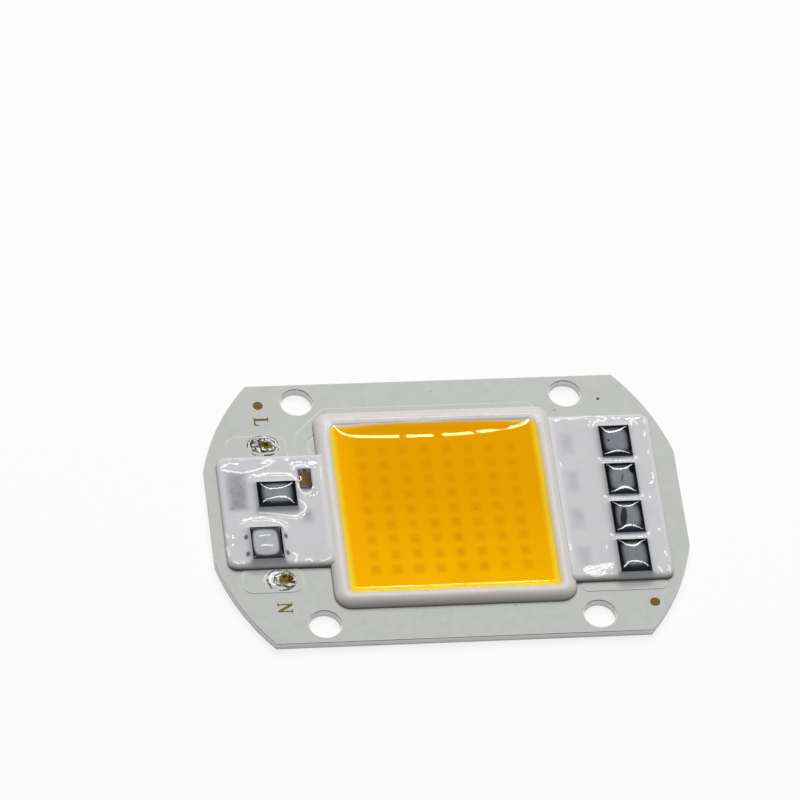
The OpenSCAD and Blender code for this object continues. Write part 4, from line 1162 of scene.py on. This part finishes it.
def make_world():
    """Even white for the camera, soft light on the part, and a dim room in its mirror images."""
    world = bpy.data.worlds.new("studio")
    bpy.context.scene.world = world
    world.use_nodes = True
    tree = world.node_tree
    background = tree.nodes["Background"]
    background.inputs["Color"].default_value = (1, 1, 1, 1)
    path = tree.nodes.new("ShaderNodeLightPath")
    level = AMBIENT
    for ray, other in (("Is Glossy Ray", ROOM), ("Is Camera Ray", 1.0)):
        blend = tree.nodes.new("ShaderNodeMix")
        tree.links.new(path.outputs[ray], blend.inputs["Factor"])
        if isinstance(level, float):
            blend.inputs["A"].default_value = level
        else:
            tree.links.new(level, blend.inputs["A"])
        blend.inputs["B"].default_value = other
        level = blend.outputs["Result"]
    tree.links.new(level, background.inputs["Strength"])


def make_light():
    make_world()
    size = SOFTBOX_SIZE
    softbox = area_lamp("softbox", SOFTBOX_PLACE, (0, 0, 0), size, size, SOFTBOX_RADIANCE)
    softbox.visible_glossy = False
    for i, (start, end) in enumerate(TUBES_FAR):
        tube_lamp("far_tube_%d" % i, start, end, 11.0, 3.9, 0.027)
    tube_lamp("near_tube", -80, 80, -12.2, -5.0, 0.022)
    bpy.context.scene.view_settings.view_transform = "Standard"


FLOOR_HALF = 3.0
FLOOR_COLOUR = (0.86, 0.86, 0.86, 1)
# Share of plain white in the floor that the camera sees. The rest takes light and shadow
FLOOR_GLOW = 0.8


def make_floor():
    corners = [(x * FLOOR_HALF, y * FLOOR_HALF, 0) for x, y in ((-1, -1), (1, -1), (1, 1), (-1, 1))]
    mesh = bpy.data.meshes.new("floor")
    mesh.from_pydata(corners, [], [(0, 1, 2, 3)])
    material = bpy.data.materials.new("floor")
    material.use_nodes = True
    tree = material.node_tree
    shader, output = tree.nodes["Principled BSDF"], tree.nodes["Material Output"]
    shader.inputs["Base Color"].default_value = FLOOR_COLOUR
    shader.inputs["Roughness"].default_value = 0.9
    glow = tree.nodes.new("ShaderNodeEmission")
    glow.inputs["Strength"].default_value = 1.0
    path = tree.nodes.new("ShaderNodeLightPath")
    part = tree.nodes.new("ShaderNodeMath")
    part.operation = "MULTIPLY"
    part.inputs[1].default_value = FLOOR_GLOW
    blend = tree.nodes.new("ShaderNodeMixShader")
    tree.links.new(path.outputs["Is Camera Ray"], part.inputs[0])
    tree.links.new(part.outputs[0], blend.inputs[0])
    tree.links.new(shader.outputs[0], blend.inputs[1])
    tree.links.new(glow.outputs[0], blend.inputs[2])
    tree.links.new(blend.outputs[0], output.inputs["Surface"])
    mesh.materials.append(material)
    floor = bpy.data.objects.new("floor", mesh)
    bpy.context.scene.collection.objects.link(floor)


# ---------- finishes of the CAD nodes ----------


def node_paints():
    """A material for each slot of the CAD nodes, save the slots whose nodes are all replaced."""
    return {
        "plate": metal_paint("aluminium", (0.95, 0.95, 0.95), 0.45, 0.6, streak=6.0, lumps=0.0,
                             metallic=0.0),
        "insulation": matt_paint("insulation", (0.1, 0.1, 0.1), 0.45, 0.6),
        "copper": metal_paint("copper", (0.78, 0.42, 0.25), 0.25, 0.4),
        "mask": mask_paint(),
        "gold": print_paint(),
        "solder": metal_paint("solder", (0.66, 0.66, 0.65), 0.2, 0.4),
        "die": matt_paint("die", (0.2, 0.35, 0.5), 0.1, 0.25),
        "wire": metal_paint("gold_wire", (0.9, 0.66, 0.3), 0.15, 0.3),
        "mould": matt_paint("mould_black", (0.012, 0.012, 0.013), 0.45, 0.65),
        "tin": metal_paint("tin", (0.62, 0.62, 0.61), 0.3, 0.45),
        "ceramic_brown": matt_paint("ceramic_brown", srgb(98, 80, 50), 0.3, 0.5),
        "ceramic_grey": matt_paint("ceramic_grey", (0.35, 0.36, 0.4), 0.35, 0.5),
    }


def dress_nodes():
    paints = node_paints()
    for part in frame["record"]["subparts"]:
        paint = paints.get(part["material_slot"])
        if paint is not None:
            mesh = frame["nodes"][part["node"]].data
            mesh.materials.clear()
            mesh.materials.append(paint)


make_dam()
make_gel()
make_driver_pad()
make_input_pad()
make_tinned_pad("line_pad_tin", "line_solder", 41, (0.0, 0.0), 0)
make_tinned_pad("neutral_pad_tin", "neutral_solder", 51, (0.5, 0.0), -1)
make_letter("letter_l", LETTER_L, -22.95, 15.05)
make_letter("letter_n", LETTER_N, -22.9, -13.8)
dress_nodes()
make_floor()
make_light()
